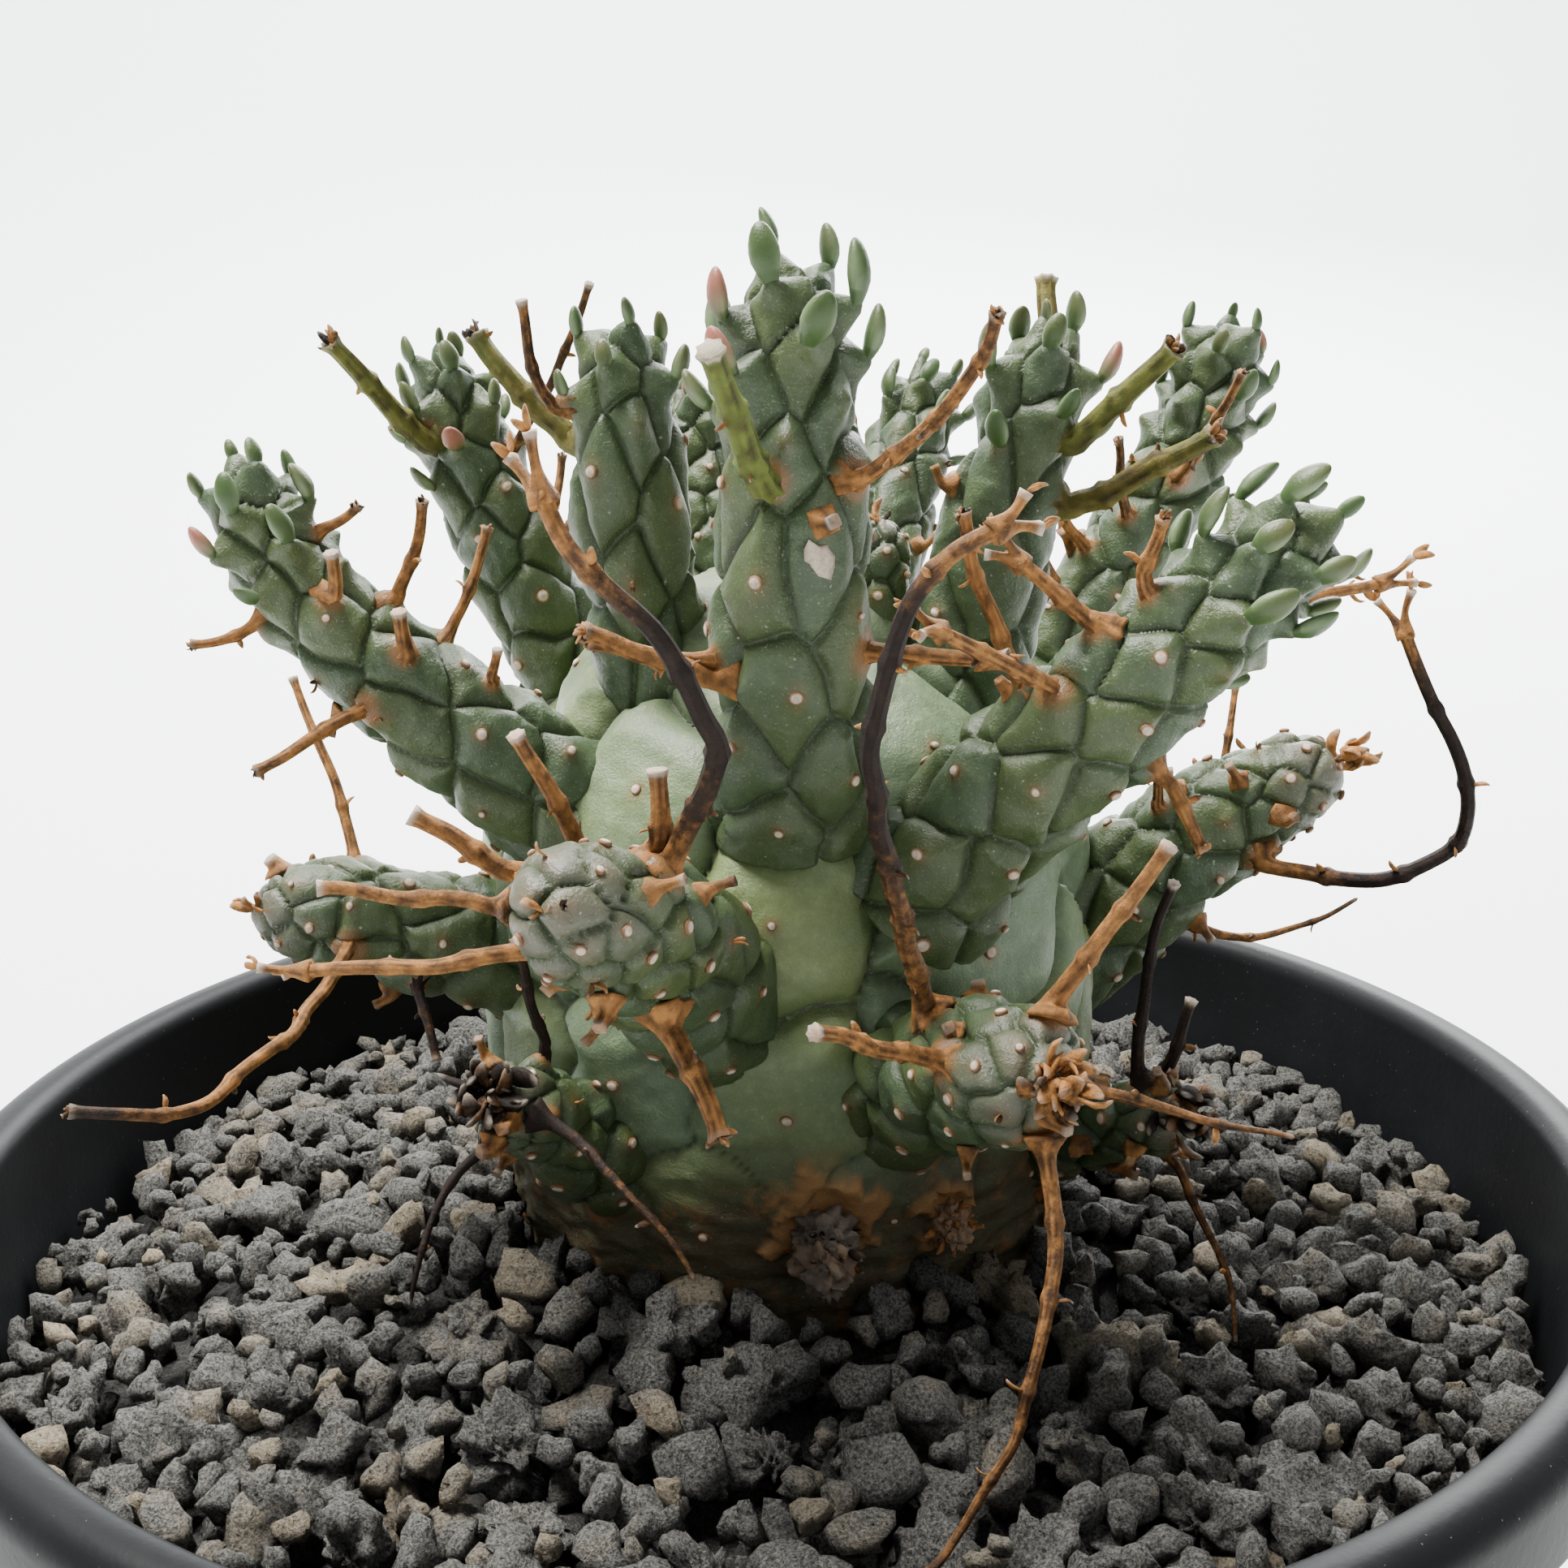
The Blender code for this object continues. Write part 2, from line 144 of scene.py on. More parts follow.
class Signal:
    """A shader socket that ordinary arithmetic extends with Math nodes."""

    def __init__(self, look, socket):
        self.look, self.socket = look, socket

    def math(self, operation, *values):
        return self.look.node("Math", {"operation": operation}, *values)

    def __add__(self, other):
        return self.math("ADD", self, other)

    def __radd__(self, other):
        return self.math("ADD", other, self)

    def __sub__(self, other):
        return self.math("SUBTRACT", self, other)

    def __rsub__(self, other):
        return self.math("SUBTRACT", other, self)

    def __mul__(self, other):
        return self.math("MULTIPLY", self, other)

    def __rmul__(self, other):
        return self.math("MULTIPLY", other, self)

    def __pow__(self, other):
        return self.math("POWER", self, other)

    def clamp(self):
        return self.math("MINIMUM", self.math("MAXIMUM", self, 0.0), 1.0)

    def smooth(self, low, high):
        """0 below low, 1 above high, eased between."""
        return self.look.node(
            "MapRange", {"interpolation_type": "SMOOTHSTEP"}, self, low, high, 0.0, 1.0
        )


def tint(colour, factor):
    return tuple(c * factor for c in colour)


class Look:
    """A Principled material under construction."""

    def __init__(self, name, roughness=0.6, **constants):
        self.material = bpy.data.materials.new(name)
        self.material.use_nodes = True
        self.tree = self.material.node_tree
        self.shader = self.tree.nodes["Principled BSDF"]
        self.feed(self.shader.inputs["Roughness"], roughness)
        for key, value in constants.items():
            self.feed(self.shader.inputs[key.replace("_", " ")], value)
        self.place = self.node("TexCoord", output="Object")

    def feed(self, socket, value):
        if isinstance(value, Signal):
            self.tree.links.new(value.socket, socket)
        elif value is not None:
            if hasattr(value, "__len__") and len(socket.default_value) == 4 and len(value) == 3:
                value = (*value, 1.0)
            socket.default_value = value

    def node(self, kind, settings=None, *values, output=0, **named):
        made = self.tree.nodes.new("ShaderNode" + kind)
        for key, value in (settings or {}).items():
            setattr(made, key, value)
        for socket, value in zip(made.inputs, values):
            self.feed(socket, value)
        for key, value in named.items():
            self.feed(made.inputs[key.replace("_", " ")], value)
        return Signal(self, made.outputs[output])

    def attribute(self, name):
        return self.node("Attribute", {"attribute_name": name}, output="Fac")

    def noise(self, per_mm, detail=3.0, rough=0.55, distortion=0.0, place=None):
        return self.node("TexNoise", None, Vector=place or self.place, Scale=per_mm / MM,
                         Detail=detail, Roughness=rough, Distortion=distortion)

    def cells(self, per_mm, feature="F1"):
        return self.node("TexVoronoi", {"feature": feature}, Vector=self.place,
                         Scale=per_mm / MM, output="Distance")

    def stretched(self, x, y, z):
        return self.node("Mapping", None, Vector=self.place, Scale=(x, y, z))

    def mix(self, factor, first, second, blend="MIX"):
        made = self.tree.nodes.new("ShaderNodeMix")
        made.data_type = "RGBA"
        made.blend_type = blend
        for index, value in ((0, factor), (6, first), (7, second)):
            self.feed(made.inputs[index], value)
        return Signal(self, made.outputs[2])

    def bump(self, height, distance, strength=1.0, under=None):
        return self.node("Bump", None, Strength=strength, Distance=distance * MM, Height=height,
                         Normal=under)

    def done(self, base, normal=None, roughness=None):
        self.feed(self.shader.inputs["Base Color"], base)
        self.feed(self.shader.inputs["Normal"], normal)
        self.feed(self.shader.inputs["Roughness"], roughness)
        return self.material


def skin_look(props, name, skin):
    look = Look(name, 0.52, Specular_IOR_Level=0.5, Subsurface_Weight=0.06,
                Subsurface_Radius=(0.0006, 0.001, 0.0005), Subsurface_Scale=1.0)
    crease_shade, bark = look.attribute("crease_shade"), look.attribute("bark")
    halo, blush, cell = look.attribute("halo"), look.attribute("blush"), look.attribute("cell")
    broad = look.noise(0.16, 2)
    mottle = look.noise(1.1, 4, 0.62)
    grain = look.noise(5.5, 2, 0.6)
    bluer = (skin[0] * 0.82, skin[1] * 0.93, skin[2] * 1.12)
    yellower = (skin[0] * 1.02, skin[1] * 1.04, skin[2] * 0.85)
    base = look.mix((broad * 0.8 + cell * 0.6 - 0.2).smooth(0.3, 0.75), bluer, yellower)
    pale = tuple(min(1, c * 1.5 + 0.02) for c in skin)
    base = look.mix((mottle.smooth(0.45, 0.75) * 0.4 + grain.smooth(0.55, 0.7) * 0.22).clamp(),
                    base, pale)
    base = look.mix(mottle.smooth(0.5, 0.25) * 0.35, base, tint(skin, 0.55))
    base = look.mix(blush * (0.45 + mottle * 0.6), base, (0.16, 0.13, 0.115))
    fibre = look.noise(0.55, 6, 0.7, 0.6, look.stretched(1, 1, 3))
    brown = look.mix(fibre.smooth(0.35, 0.65), props.bark, (0.1, 0.105, 0.055))
    brown = look.mix(look.noise(0.35, 3).smooth(0.55, 0.7) * 0.7, brown, (0.34, 0.15, 0.045))
    base = look.mix((bark + (broad - 0.5) * 0.5 * bark.smooth(0.0, 0.2)).smooth(0.2, 0.85), base, brown)
    ember = look.mix(mottle, (0.52, 0.27, 0.1), (0.3, 0.14, 0.045))
    base = look.mix(look.attribute("ember") * 0.9, base, ember)
    base = look.mix((halo * 1.3).clamp(), base, (0.2, 0.095, 0.03))
    # Painted shade: the creases and a band round each cell's rim darkened toward the crease colour
    base = look.mix((crease_shade * 0.92).clamp(), base, props.crease_shade)
    dust = look.noise(2.6, 1).smooth(0.74, 0.8) * 0.5 + look.noise(7.5, 1).smooth(0.64, 0.72) * 0.22
    base = look.mix(dust.clamp(), base, (0.42, 0.46, 0.36))
    height = grain * 0.55 + mottle * 0.8 + look.noise(14, 1) * 0.15
    cork = fibre * bark.smooth(0.05, 0.6)
    normal = look.bump(height, 0.15, 0.7, look.bump(cork, 0.25, 0.7))
    rough = 0.36 + mottle * 0.2 + bark * 0.25
    return look.done(base, normal, rough)


def leaf_look(props):
    look = Look("leaf", 0.45, Subsurface_Weight=0.08, Subsurface_Radius=(0.0005, 0.001, 0.0004),
                Subsurface_Scale=1.0)
    edge, red = look.attribute("edge"), look.attribute("blush")
    leaf = props.leaf
    soft = look.noise(1.4, 3)
    base = look.mix(soft, leaf, (leaf[0] * 1.5, leaf[1] * 1.35, leaf[2] * 1.6))
    base = look.mix((edge ** 4.0) * 0.6, base, (0.3, 0.4, 0.22))
    base = look.mix(red, base, (0.42, 0.13, 0.1))
    return look.done(base, look.bump(look.noise(7, 3), 0.06, 0.5))


def stalk_look(props):
    look = Look("dried stalk", 0.66, Specular_IOR_Level=0.25)
    tone, pale = look.attribute("tone"), look.attribute("pale")
    ridge = look.attribute("ridge")
    mottle = look.noise(1.3, 5, 0.65)
    straw = look.mix(mottle.smooth(0.35, 0.7), props.straw, tint(props.straw, 0.42))
    base = look.mix((tone * 1.8 + (mottle - 0.5) * 1.1).smooth(0.6, 1.6), straw, props.dark)
    live = look.mix(mottle, props.green, (0.09, 0.14, 0.035))
    base = look.mix(look.attribute("live"), base, live)
    # Dark streaks: part real streaking, part painted shade in the furrows between the ribs
    base = look.mix(ridge * 0.85, base, tint(props.dark, 3))
    base = look.mix(pale * mottle.smooth(0.2, 0.5), base, (0.62, 0.52, 0.42))
    return look.done(base, look.bump(look.noise(4, 4, 0.7), 0.16, 0.8))


def scar_look():
    look = Look("leaf scar", 0.7)
    rim = look.attribute("edge")
    spots = look.noise(3.0, 2)
    base = look.mix(spots.smooth(0.4, 0.7), (0.62, 0.53, 0.42), (0.46, 0.36, 0.27))
    base = look.mix(rim.smooth(0.55, 0.9), base, (0.2, 0.095, 0.04))
    return look.done(base, look.bump(look.noise(6, 2), 0.06, 0.6))


def grit_look(props):
    look = Look("lava grit", 0.95, Specular_IOR_Level=0.25)
    warm, shade = look.attribute("warm"), look.attribute("shade")
    patch = look.noise(0.45, 4, 0.6)
    fine = look.noise(5.0, 4, 0.75)
    pits = look.cells(2.2)
    base = look.mix(fine.smooth(0.35, 0.68), tint(props.dark, 0.35), tint(props.dark, 1.75))
    tan = look.mix(fine.smooth(0.3, 0.7), tint(props.warm, 0.55), tint(props.warm, 1.35))
    base = look.mix((warm + (patch - 0.5) * 0.9).smooth(0.35, 0.9), base, tan)
    base = look.mix(look.noise(1.2, 2).smooth(0.66, 0.74) * 0.5, base, (0.26, 0.21, 0.15))
    # Painted shade: the pits are darkened to near black
    base = look.mix(pits.smooth(0.22, 0.05) * 0.8, base, (0.008, 0.008, 0.009))
    base = look.mix(shade, base, (0.012, 0.012, 0.013))
    rough = look.noise(1.1, 5, 0.72)
    normal = look.bump(rough + fine * 0.5, 0.9, 0.9, look.bump(pits.smooth(0.0, 0.5), 0.35, 0.8))
    return look.done(base, normal)


def pot_look(props):
    look = Look("black plastic", 0.42, Specular_IOR_Level=0.1)
    speck = look.noise(3.6, 1).smooth(0.76, 0.8)
    film = look.noise(0.06, 4, 0.6)
    base = look.mix(film.smooth(0.4, 0.75) * 0.25, props.plastic, (0.022, 0.025, 0.028))
    base = look.mix(speck * 0.5, base, (0.2, 0.21, 0.21))
    normal = look.bump(look.noise(1.5, 3, 0.6), 0.05, 0.5)
    return look.done(base, normal, 0.36 + film * 0.16 + speck * 0.3)


# Building blocks


def piece(name, points, faces, material, marks=None, flat=False):
    """An object riding the root body, from points in mm, faces, and a value per point of each mark."""
    mesh = bpy.data.meshes.new(name)
    faces = [np.asarray(f) for f in (faces if isinstance(faces, list) else [faces])]
    mesh.vertices.add(len(points))
    mesh.vertices.foreach_set("co", (np.asarray(points, float) * MM).ravel())
    sizes = np.concatenate([np.full(len(f), f.shape[1]) for f in faces])
    corners = np.concatenate([f.ravel() for f in faces])
    mesh.loops.add(len(corners))
    mesh.loops.foreach_set("vertex_index", corners)
    mesh.polygons.add(len(sizes))
    mesh.polygons.foreach_set("loop_start", np.concatenate([[0], np.cumsum(sizes)[:-1]]))
    mesh.polygons.foreach_set("use_smooth", np.full(len(sizes), not flat))
    mesh.update(calc_edges=True)
    mesh.validate()
    for key, values in (marks or {}).items():
        mesh.attributes.new(key, "FLOAT", "POINT").data.foreach_set(
            "value", np.ascontiguousarray(values, np.float32)
        )
    mesh.materials.append(material)
    found = bpy.data.objects.new(name, mesh)
    bpy.context.collection.objects.link(found)
    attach(found, "root")
    return found


class Heap:
    """Many small shapes gathered into one mesh, with a value per point of each mark."""

    def __init__(self):
        self.points, self.faces, self.marks, self.count = [], [], {}, 0

    def add(self, points, faces, **marks):
        self.points.append(points)
        for f in faces if isinstance(faces, list) else [faces]:
            self.faces.append(np.asarray(f) + self.count)
        for key, value in marks.items():
            self.marks.setdefault(key, []).append(np.broadcast_to(value, len(points)))
        self.count += len(points)

    def build(self, name, material):
        kinds = {}
        for f in self.faces:
            kinds.setdefault(f.shape[1], []).append(f)
        faces = [np.concatenate(f) for f in kinds.values()]
        marks = {key: np.concatenate(value) for key, value in self.marks.items()}
        return piece(name, np.concatenate(self.points), faces, material, marks)


def primitive(kind, **settings):
    """The points and triangles of one of Blender's own primitives, of unit radius."""
    bpy.ops.object.select_all(action="DESELECT")
    getattr(bpy.ops.mesh, f"primitive_{kind}_add")(**settings)
    made = bpy.context.object
    shape = bmesh.new()
    shape.from_mesh(made.data)
    bmesh.ops.triangulate(shape, faces=shape.faces)
    bmesh.ops.recalc_face_normals(shape, faces=shape.faces)
    points = np.array([v.co[:] for v in shape.verts])
    faces = np.array([[v.index for v in f.verts] for f in shape.faces])
    shape.free()
    bpy.data.objects.remove(made, do_unlink=True)
    return points, faces


def bearing(heading, climb=0.0):
    h, c = math.radians(heading), math.radians(climb)
    return np.array([math.sin(h) * math.cos(c), -math.cos(h) * math.cos(c), math.sin(c)])


def unit(v):
    return v / np.maximum(np.linalg.norm(v, axis=-1, keepdims=True), 1e-12)


def ramp(value, low, high):
    t = np.clip((value - low) / (high - low), 0, 1)
    return t * t * (3 - 2 * t)


def resample(line, values, step):
    """A line, its per-point values and the distances along it, at even steps of a smooth curve."""
    dense, place = [], []
    padded = np.vstack([2 * line[0] - line[1], line, 2 * line[-1] - line[-2]])
    t = np.linspace(0, 1, 12, endpoint=False)[:, None]
    for i in range(1, len(padded) - 2):
        p0, p1, p2, p3 = padded[i - 1 : i + 3]
        dense.append(0.5 * (2 * p1 + (p2 - p0) * t + (2 * p0 - 5 * p1 + 4 * p2 - p3) * t**2
                            + (3 * p1 - p0 - 3 * p2 + p3) * t**3))
        place.append(i - 1 + t[:, 0])
    dense = np.vstack(dense + [line[-1:]])
    place = np.concatenate(place + [[len(line) - 1]])
    along = np.concatenate([[0], np.cumsum(np.linalg.norm(np.diff(dense, axis=0), axis=1))])
    count = max(4, int(along[-1] / step) + 1)
    even = np.linspace(0, along[-1], count)
    where = np.interp(even, along, place)
    found = np.stack([np.interp(even, along, dense[:, k]) for k in range(3)], 1)
    return found, np.interp(where, np.arange(len(values)), values), even


def frames(line):
    """The tangent and two sides at each point of a line, without twist."""
    way = unit(np.gradient(line, axis=0))
    seed = np.cross(way[0], [0.31, 0.93, 0.18])
    side = np.empty_like(way)
    current = unit(seed)
    for i, w in enumerate(way):
        current = unit(current - w * current.dot(w))
        side[i] = current
    return way, side, np.cross(way, side)


def angles(around):
    return np.arange(around) * 2 * math.pi / around


def grid_faces(rows, around):
    i, j = np.meshgrid(np.arange(rows - 1), np.arange(around), indexing="ij")
    k = (j + 1) % around
    return np.stack([i * around + j, i * around + k, (i + 1) * around + k, (i + 1) * around + j],
                    -1).reshape(-1, 4)


def fans(rows, around, points):
    """Triangles that close a grid's first and last rows to the two points after it."""
    j = np.arange(around)
    k = (j + 1) % around
    last = (rows - 1) * around
    return np.concatenate([
        np.stack([k, j, np.full(around, points)], -1),
        np.stack([last + j, last + k, np.full(around, points + 1)], -1),
    ])


def closed(rows, around):
    """The faces of a grid closed by fans to the two points that follow it."""
    return [grid_faces(rows, around), fans(rows, around, rows * around)]


def grid_normals(grid):
    """Outward normals of a (rows, around, 3) grid that is closed around."""
    around = np.roll(grid, -1, 1) - np.roll(grid, 1, 1)
    return unit(np.cross(around, np.gradient(grid, axis=0)))


def wobble(points, scale, seed, octaves=3):
    """Smooth noise about -1 to 1, as a sum of turned waves."""
    draw = np.random.default_rng(seed)
    total, weight = np.zeros(len(points)), 0.0
    for octave in range(octaves):
        for _ in range(5):
            way = unit(draw.normal(size=3)) * 2 * math.pi / scale * 2**octave * draw.uniform(0.7, 1.3)
            total += np.sin(points @ way + draw.uniform(0, 6.3)) / 2**octave
        weight += 1.6 / 2**octave
    return total / weight


def levels(node):
    """A tube's rings from its root to its tip: centres and mean radii in mm.

    Its two ends are either poles or flat faces."""
    mesh = NODES[node].data
    points = corners_of(node)
    _, index = np.unique(np.round(points, 2), axis=0, return_inverse=True)
    index = index.reshape(-1)
    count = index.max() + 1
    merged = np.zeros((count, 3))
    merged[index] = points
    faces = [[index[v] for v in face.vertices] for face in mesh.polygons]
    links = [set() for _ in range(count)]
    sharing = {}
    for number, ids in enumerate(faces):
        for a, b in zip(ids, ids[1:] + ids[:1]):
            links[a].add(b)
            links[b].add(a)
            sharing.setdefault((min(a, b), max(a, b)), []).append(number)

    # An end is a point with a whole ring about it, or a flat face whose corners stand evenly
    # round its middle
    poles = [[i] for i in range(count) if len(links[i]) >= POLE_LINKS]
    if not poles:
        normals = [unit(np.cross(merged[f[1]] - merged[f[0]], merged[f[2]] - merged[f[0]])) for f in faces]
        beside = [set() for _ in faces]
        for pair in sharing.values():
            if normals[pair[0]] @ normals[pair[1]] > SAME_PLANE:
                beside[pair[0]].add(pair[1])
                beside[pair[1]].add(pair[0])
        for start in range(len(faces)):
            flat, rest = {start}, [start]
            while rest:
                more = beside[rest.pop()] - flat
                flat |= more
                rest += more
            corners = sorted({i for f in flat for i in faces[f]})
            away = np.linalg.norm(merged[corners] - merged[corners].mean(0), axis=1)
            if len(corners) > 4 and np.ptp(away) < ROUND_WITHIN * away.mean():
                poles.append(corners)
    ring, seen, rings = poles[0], set(poles[0]), []
    while ring:
        rings.append(ring)
        ring = sorted({n for i in ring for n in links[i]} - seen)
        seen |= set(ring)
    centres = np.array([merged[r].mean(0) for r in rings])
    radii = np.array([np.linalg.norm(merged[r] - c, axis=1).mean() for r, c in zip(rings, centres)])
    stem = np.array([STEM_X, 0, TOP])
    if np.linalg.norm(centres[0] - stem) > np.linalg.norm(centres[-1] - stem):
        centres, radii = centres[::-1], radii[::-1]
    return centres, radii


def outline(node):
    """A turned node's (radius, height) pairs in mm, one per ring, from its lowest ring up."""
    points = corners_of(node)
    out = np.hypot(points[:, 0] - STEM_X, points[:, 1])
    heights = np.unique(np.round(points[:, 2], 1))
    return np.array([
        (out[np.abs(points[:, 2] - h) < 0.06].mean(), h) for h in heights
    ])


def borders(places, seeds):
    """For each place: its nearest seed, and the distance to its cell's border."""
    apart = ((places[:, None, :] - seeds[None]) ** 2).sum(-1)
    two = np.argpartition(apart, 1, axis=1)[:, :2]
    rows = np.arange(len(places))
    swap = apart[rows, two[:, 0]] > apart[rows, two[:, 1]]
    two[swap] = two[swap][:, ::-1]
    first, second = apart[rows, two[:, 0]], apart[rows, two[:, 1]]
    gap = np.linalg.norm(seeds[two[:, 0]] - seeds[two[:, 1]], axis=1)
    return two[:, 0], (second - first) / (2 * gap)


Site = namedtuple("Site", "place normal way width along draw")


class Grown:
    """An arm's surface: a rod swollen into spiral tubercles."""

    def __init__(self, node, props, leafy, stretch, seed, around=136):
        self.node, self.name, self.leafy = node, node[4:], leafy
        centres, radii = levels(node)
        body, rads = centres[1:-3], radii[1:-3]
        back = unit(body[1] - body[0]) if len(body) > 1 else unit(centres[-1] - body[0])
        body = np.vstack([body[0] - back * 3.5, body, centres[-1]])
        rads = np.concatenate([[rads[0] * 1.06], rads, [rads[-1] * 0.97]])
        line, rads, along = resample(body, rads, 0.18)
        length = along[-1]
        cap = min(rads[-1] * 1.25, length * 0.4)
        turn = np.linspace(0, 1.5, 18)
        s = np.concatenate([along[along < length - cap], length - cap + cap * np.sin(turn)])
        self.spine = np.stack([np.interp(s, along, line[:, k]) for k in range(3)], 1)
        base = np.interp(s, along, rads)
        round_off = np.sqrt(np.clip(1 - (np.clip(s - length + cap, 0, cap) / cap) ** 2, 0, 1))
        rad = base * round_off
        way, side, other = frames(self.spine)
        self.way = way
        angle = angles(around)
        ring = side[:, None] * np.cos(angle)[None, :, None] + other[:, None] * np.sin(angle)[None, :, None]
        grid = self.spine[:, None] + ring * rad[:, None, None]
        normals = grid_normals(grid)
        # The same surface straightened, with its tall cells squashed to round ones
        share = s / length
        tall = 1 + (stretch - 1) * np.clip(1.25 - np.abs(share - 0.55) * 2.6, 0, 1)
        level = np.concatenate([[0], np.cumsum(np.diff(s) * 2 / (tall[1:] + tall[:-1]))])
        straight = np.stack([
            rad[:, None] * np.cos(angle), rad[:, None] * np.sin(angle), np.repeat(level[:, None], around, 1)
        ], -1).reshape(-1, 3)
        draw = np.random.default_rng(seed)
        pitch_tip = 0.46 if not leafy else 0.56
        seeds, nubs, widths, shares, h, i = [], [], [], [], 0.3, 0
        phase = draw.uniform(0, 6.3)
        while h < level[-1] - 0.12:
            here = np.interp(h, level, rad)
            t = np.interp(h, level, share)
            width = props.pitch * (1 - (1 - pitch_tip) * ramp(t, 0.1, 1.0)) * min(1, rads[0] / 4.3)
            a = phase + i * GOLDEN + draw.uniform(-0.09, 0.09)
            seeds.append((here * math.cos(a), here * math.sin(a), h))
            up = min(h + width * 0.16, level[-1] - 0.05)
            wide = np.interp(up, level, rad)
            nubs.append((wide * math.cos(a), wide * math.sin(a), up))
            widths.append(width)
            shares.append(t)
            h += width**2 * 0.92 / (2 * math.pi * max(here, 0.55))
            i += 1
        seeds, nubs, widths, shares = map(np.array, (seeds, nubs, widths, shares))
        jitter = seeds + draw.normal(0, 0.12, seeds.shape) * widths[:, None]
        warp = np.stack([wobble(straight, 4.0, seed + k, 1) for k in range(3)], 1) * 0.16
        owner, edge = borders(straight + warp, jitter)
        width = widths[owner]
        x = np.clip(edge / (0.38 * width), 0, 1)
        pillow = 1 - (1 - x) ** 2.8
        swell = props.relief * width * (pillow - 0.5)
        swell += 0.07 * width * np.clip((straight[:, 2] - seeds[owner, 2]) / width, -0.6, 0.6) * pillow
        swell -= 0.17 * np.exp(-((edge / 0.15) ** 2))
        reach = np.linalg.norm(straight - nubs[owner], axis=1) / width
        young = ramp(shares[owner], 0.58, 0.86) if leafy else 0.0
        swell += width * (0.045 * np.exp(-(reach / 0.14) ** 2) + 0.3 * young * np.exp(-(reach / 0.24) ** 2))
        flat = grid.reshape(-1, 3)
        swell += 0.05 * wobble(flat, 2.2, seed + 7) + 0.16 * wobble(flat, 9.0, seed + 8, 1)
        points = flat + normals.reshape(-1, 3) * swell[:, None]
        self.rows, self.around = len(s), around
        self.grid = points.reshape(grid.shape)
        tip_blush = 0.0 if leafy else 0.75 * ramp(np.repeat(share, around), 0.74, 1.0)
        self.marks = {
            # Painted shade: dark down each crease, and a wider band of painted shade round the cell's rim
            "crease_shade": np.exp(-((edge / 0.16) ** 2)) + 0.34 * np.exp(-((edge / 0.5) ** 2)),
            "halo": 0.32 * np.exp(-((reach * width / 0.5) ** 2)) * (1 - young),
            "blush": tip_blush + np.zeros(len(points)),
            "bark": 1 - ramp(points[:, 2] - TOP + 1.2 * wobble(flat, 7, seed), -1.5, 4.5),
            "cell": draw.uniform(0, 1, len(seeds))[owner], "ember": np.zeros(len(points)),
        }
        # Where each tubercle's scar, leaf or stub stands
        self.sites = []
        outward = normals.reshape(-1, 3)
        for k, nub in enumerate(nubs):
            at = int(np.argmin(((straight - nub) ** 2).sum(1)))
            self.sites.append(Site(points[at], outward[at], way[at // around], widths[k], shares[k],
                                   draw.uniform()))

    def build(self, material):
        ends = np.array([self.grid[0].mean(0), self.grid[-1].mean(0) + self.way[-1] * 0.05])
        marks = {key: np.concatenate([np.minimum(v, 1), [v[0], v[-1]]]) for key, v in self.marks.items()}
        return piece(f"{self.name}_arm_finish", np.vstack([self.grid.reshape(-1, 3), ends]),
                     closed(self.rows, self.around), material, marks)


LEAFY = {n[7:] for n in NODES if n.startswith("leaves_")}
STRETCH = {"front": 1.55, "left_of_centre": 1.9, "right_of_centre": 1.75, "back_centre": 1.5,
           "back_left": 1.2, "back_right": 1.25}
GROWN, STEM = {}, {}


def grow_all(props):
    """Every arm's surface, kept for the operators that stand things on them."""
    if GROWN:
        return
    for i, node in enumerate(sorted(n for n in NODES if n.startswith("arm_"))):
        name = node[4:]
        GROWN[name] = Grown(node, props, name in LEAFY, STRETCH.get(name, 1.08), 40 + 3 * i)


# A stem cell: heading in degrees and height above the rim in mm
STEM_FRONT = ((-4, 22), (-31, 29), (-46, 21), (30, 31), (33, 19), (-2, 9.5), (-31, 11), (25, 11.5),
              (-17, 1), (17, 1.5), (-5, 33), (50, 10), (-54, 9), (48, 2), (-48, 1))
# Dead stubs at the stem's foot: heading, height, size in mm, lightest and darkest tone, and how
# far they hang
DEAD = ((4, 2.4, 2.3, 0.6, 0.9, -0.8), (27, 1.4, 1.4, 0.0, 0.3, -0.2))
# The cells all round: height above the rim in mm, and how many, where none at the front is near
STEM_ROWS = ((-3, 7), (6, 7), (16, 6), (26, 6), (34, 5), (39, 3))


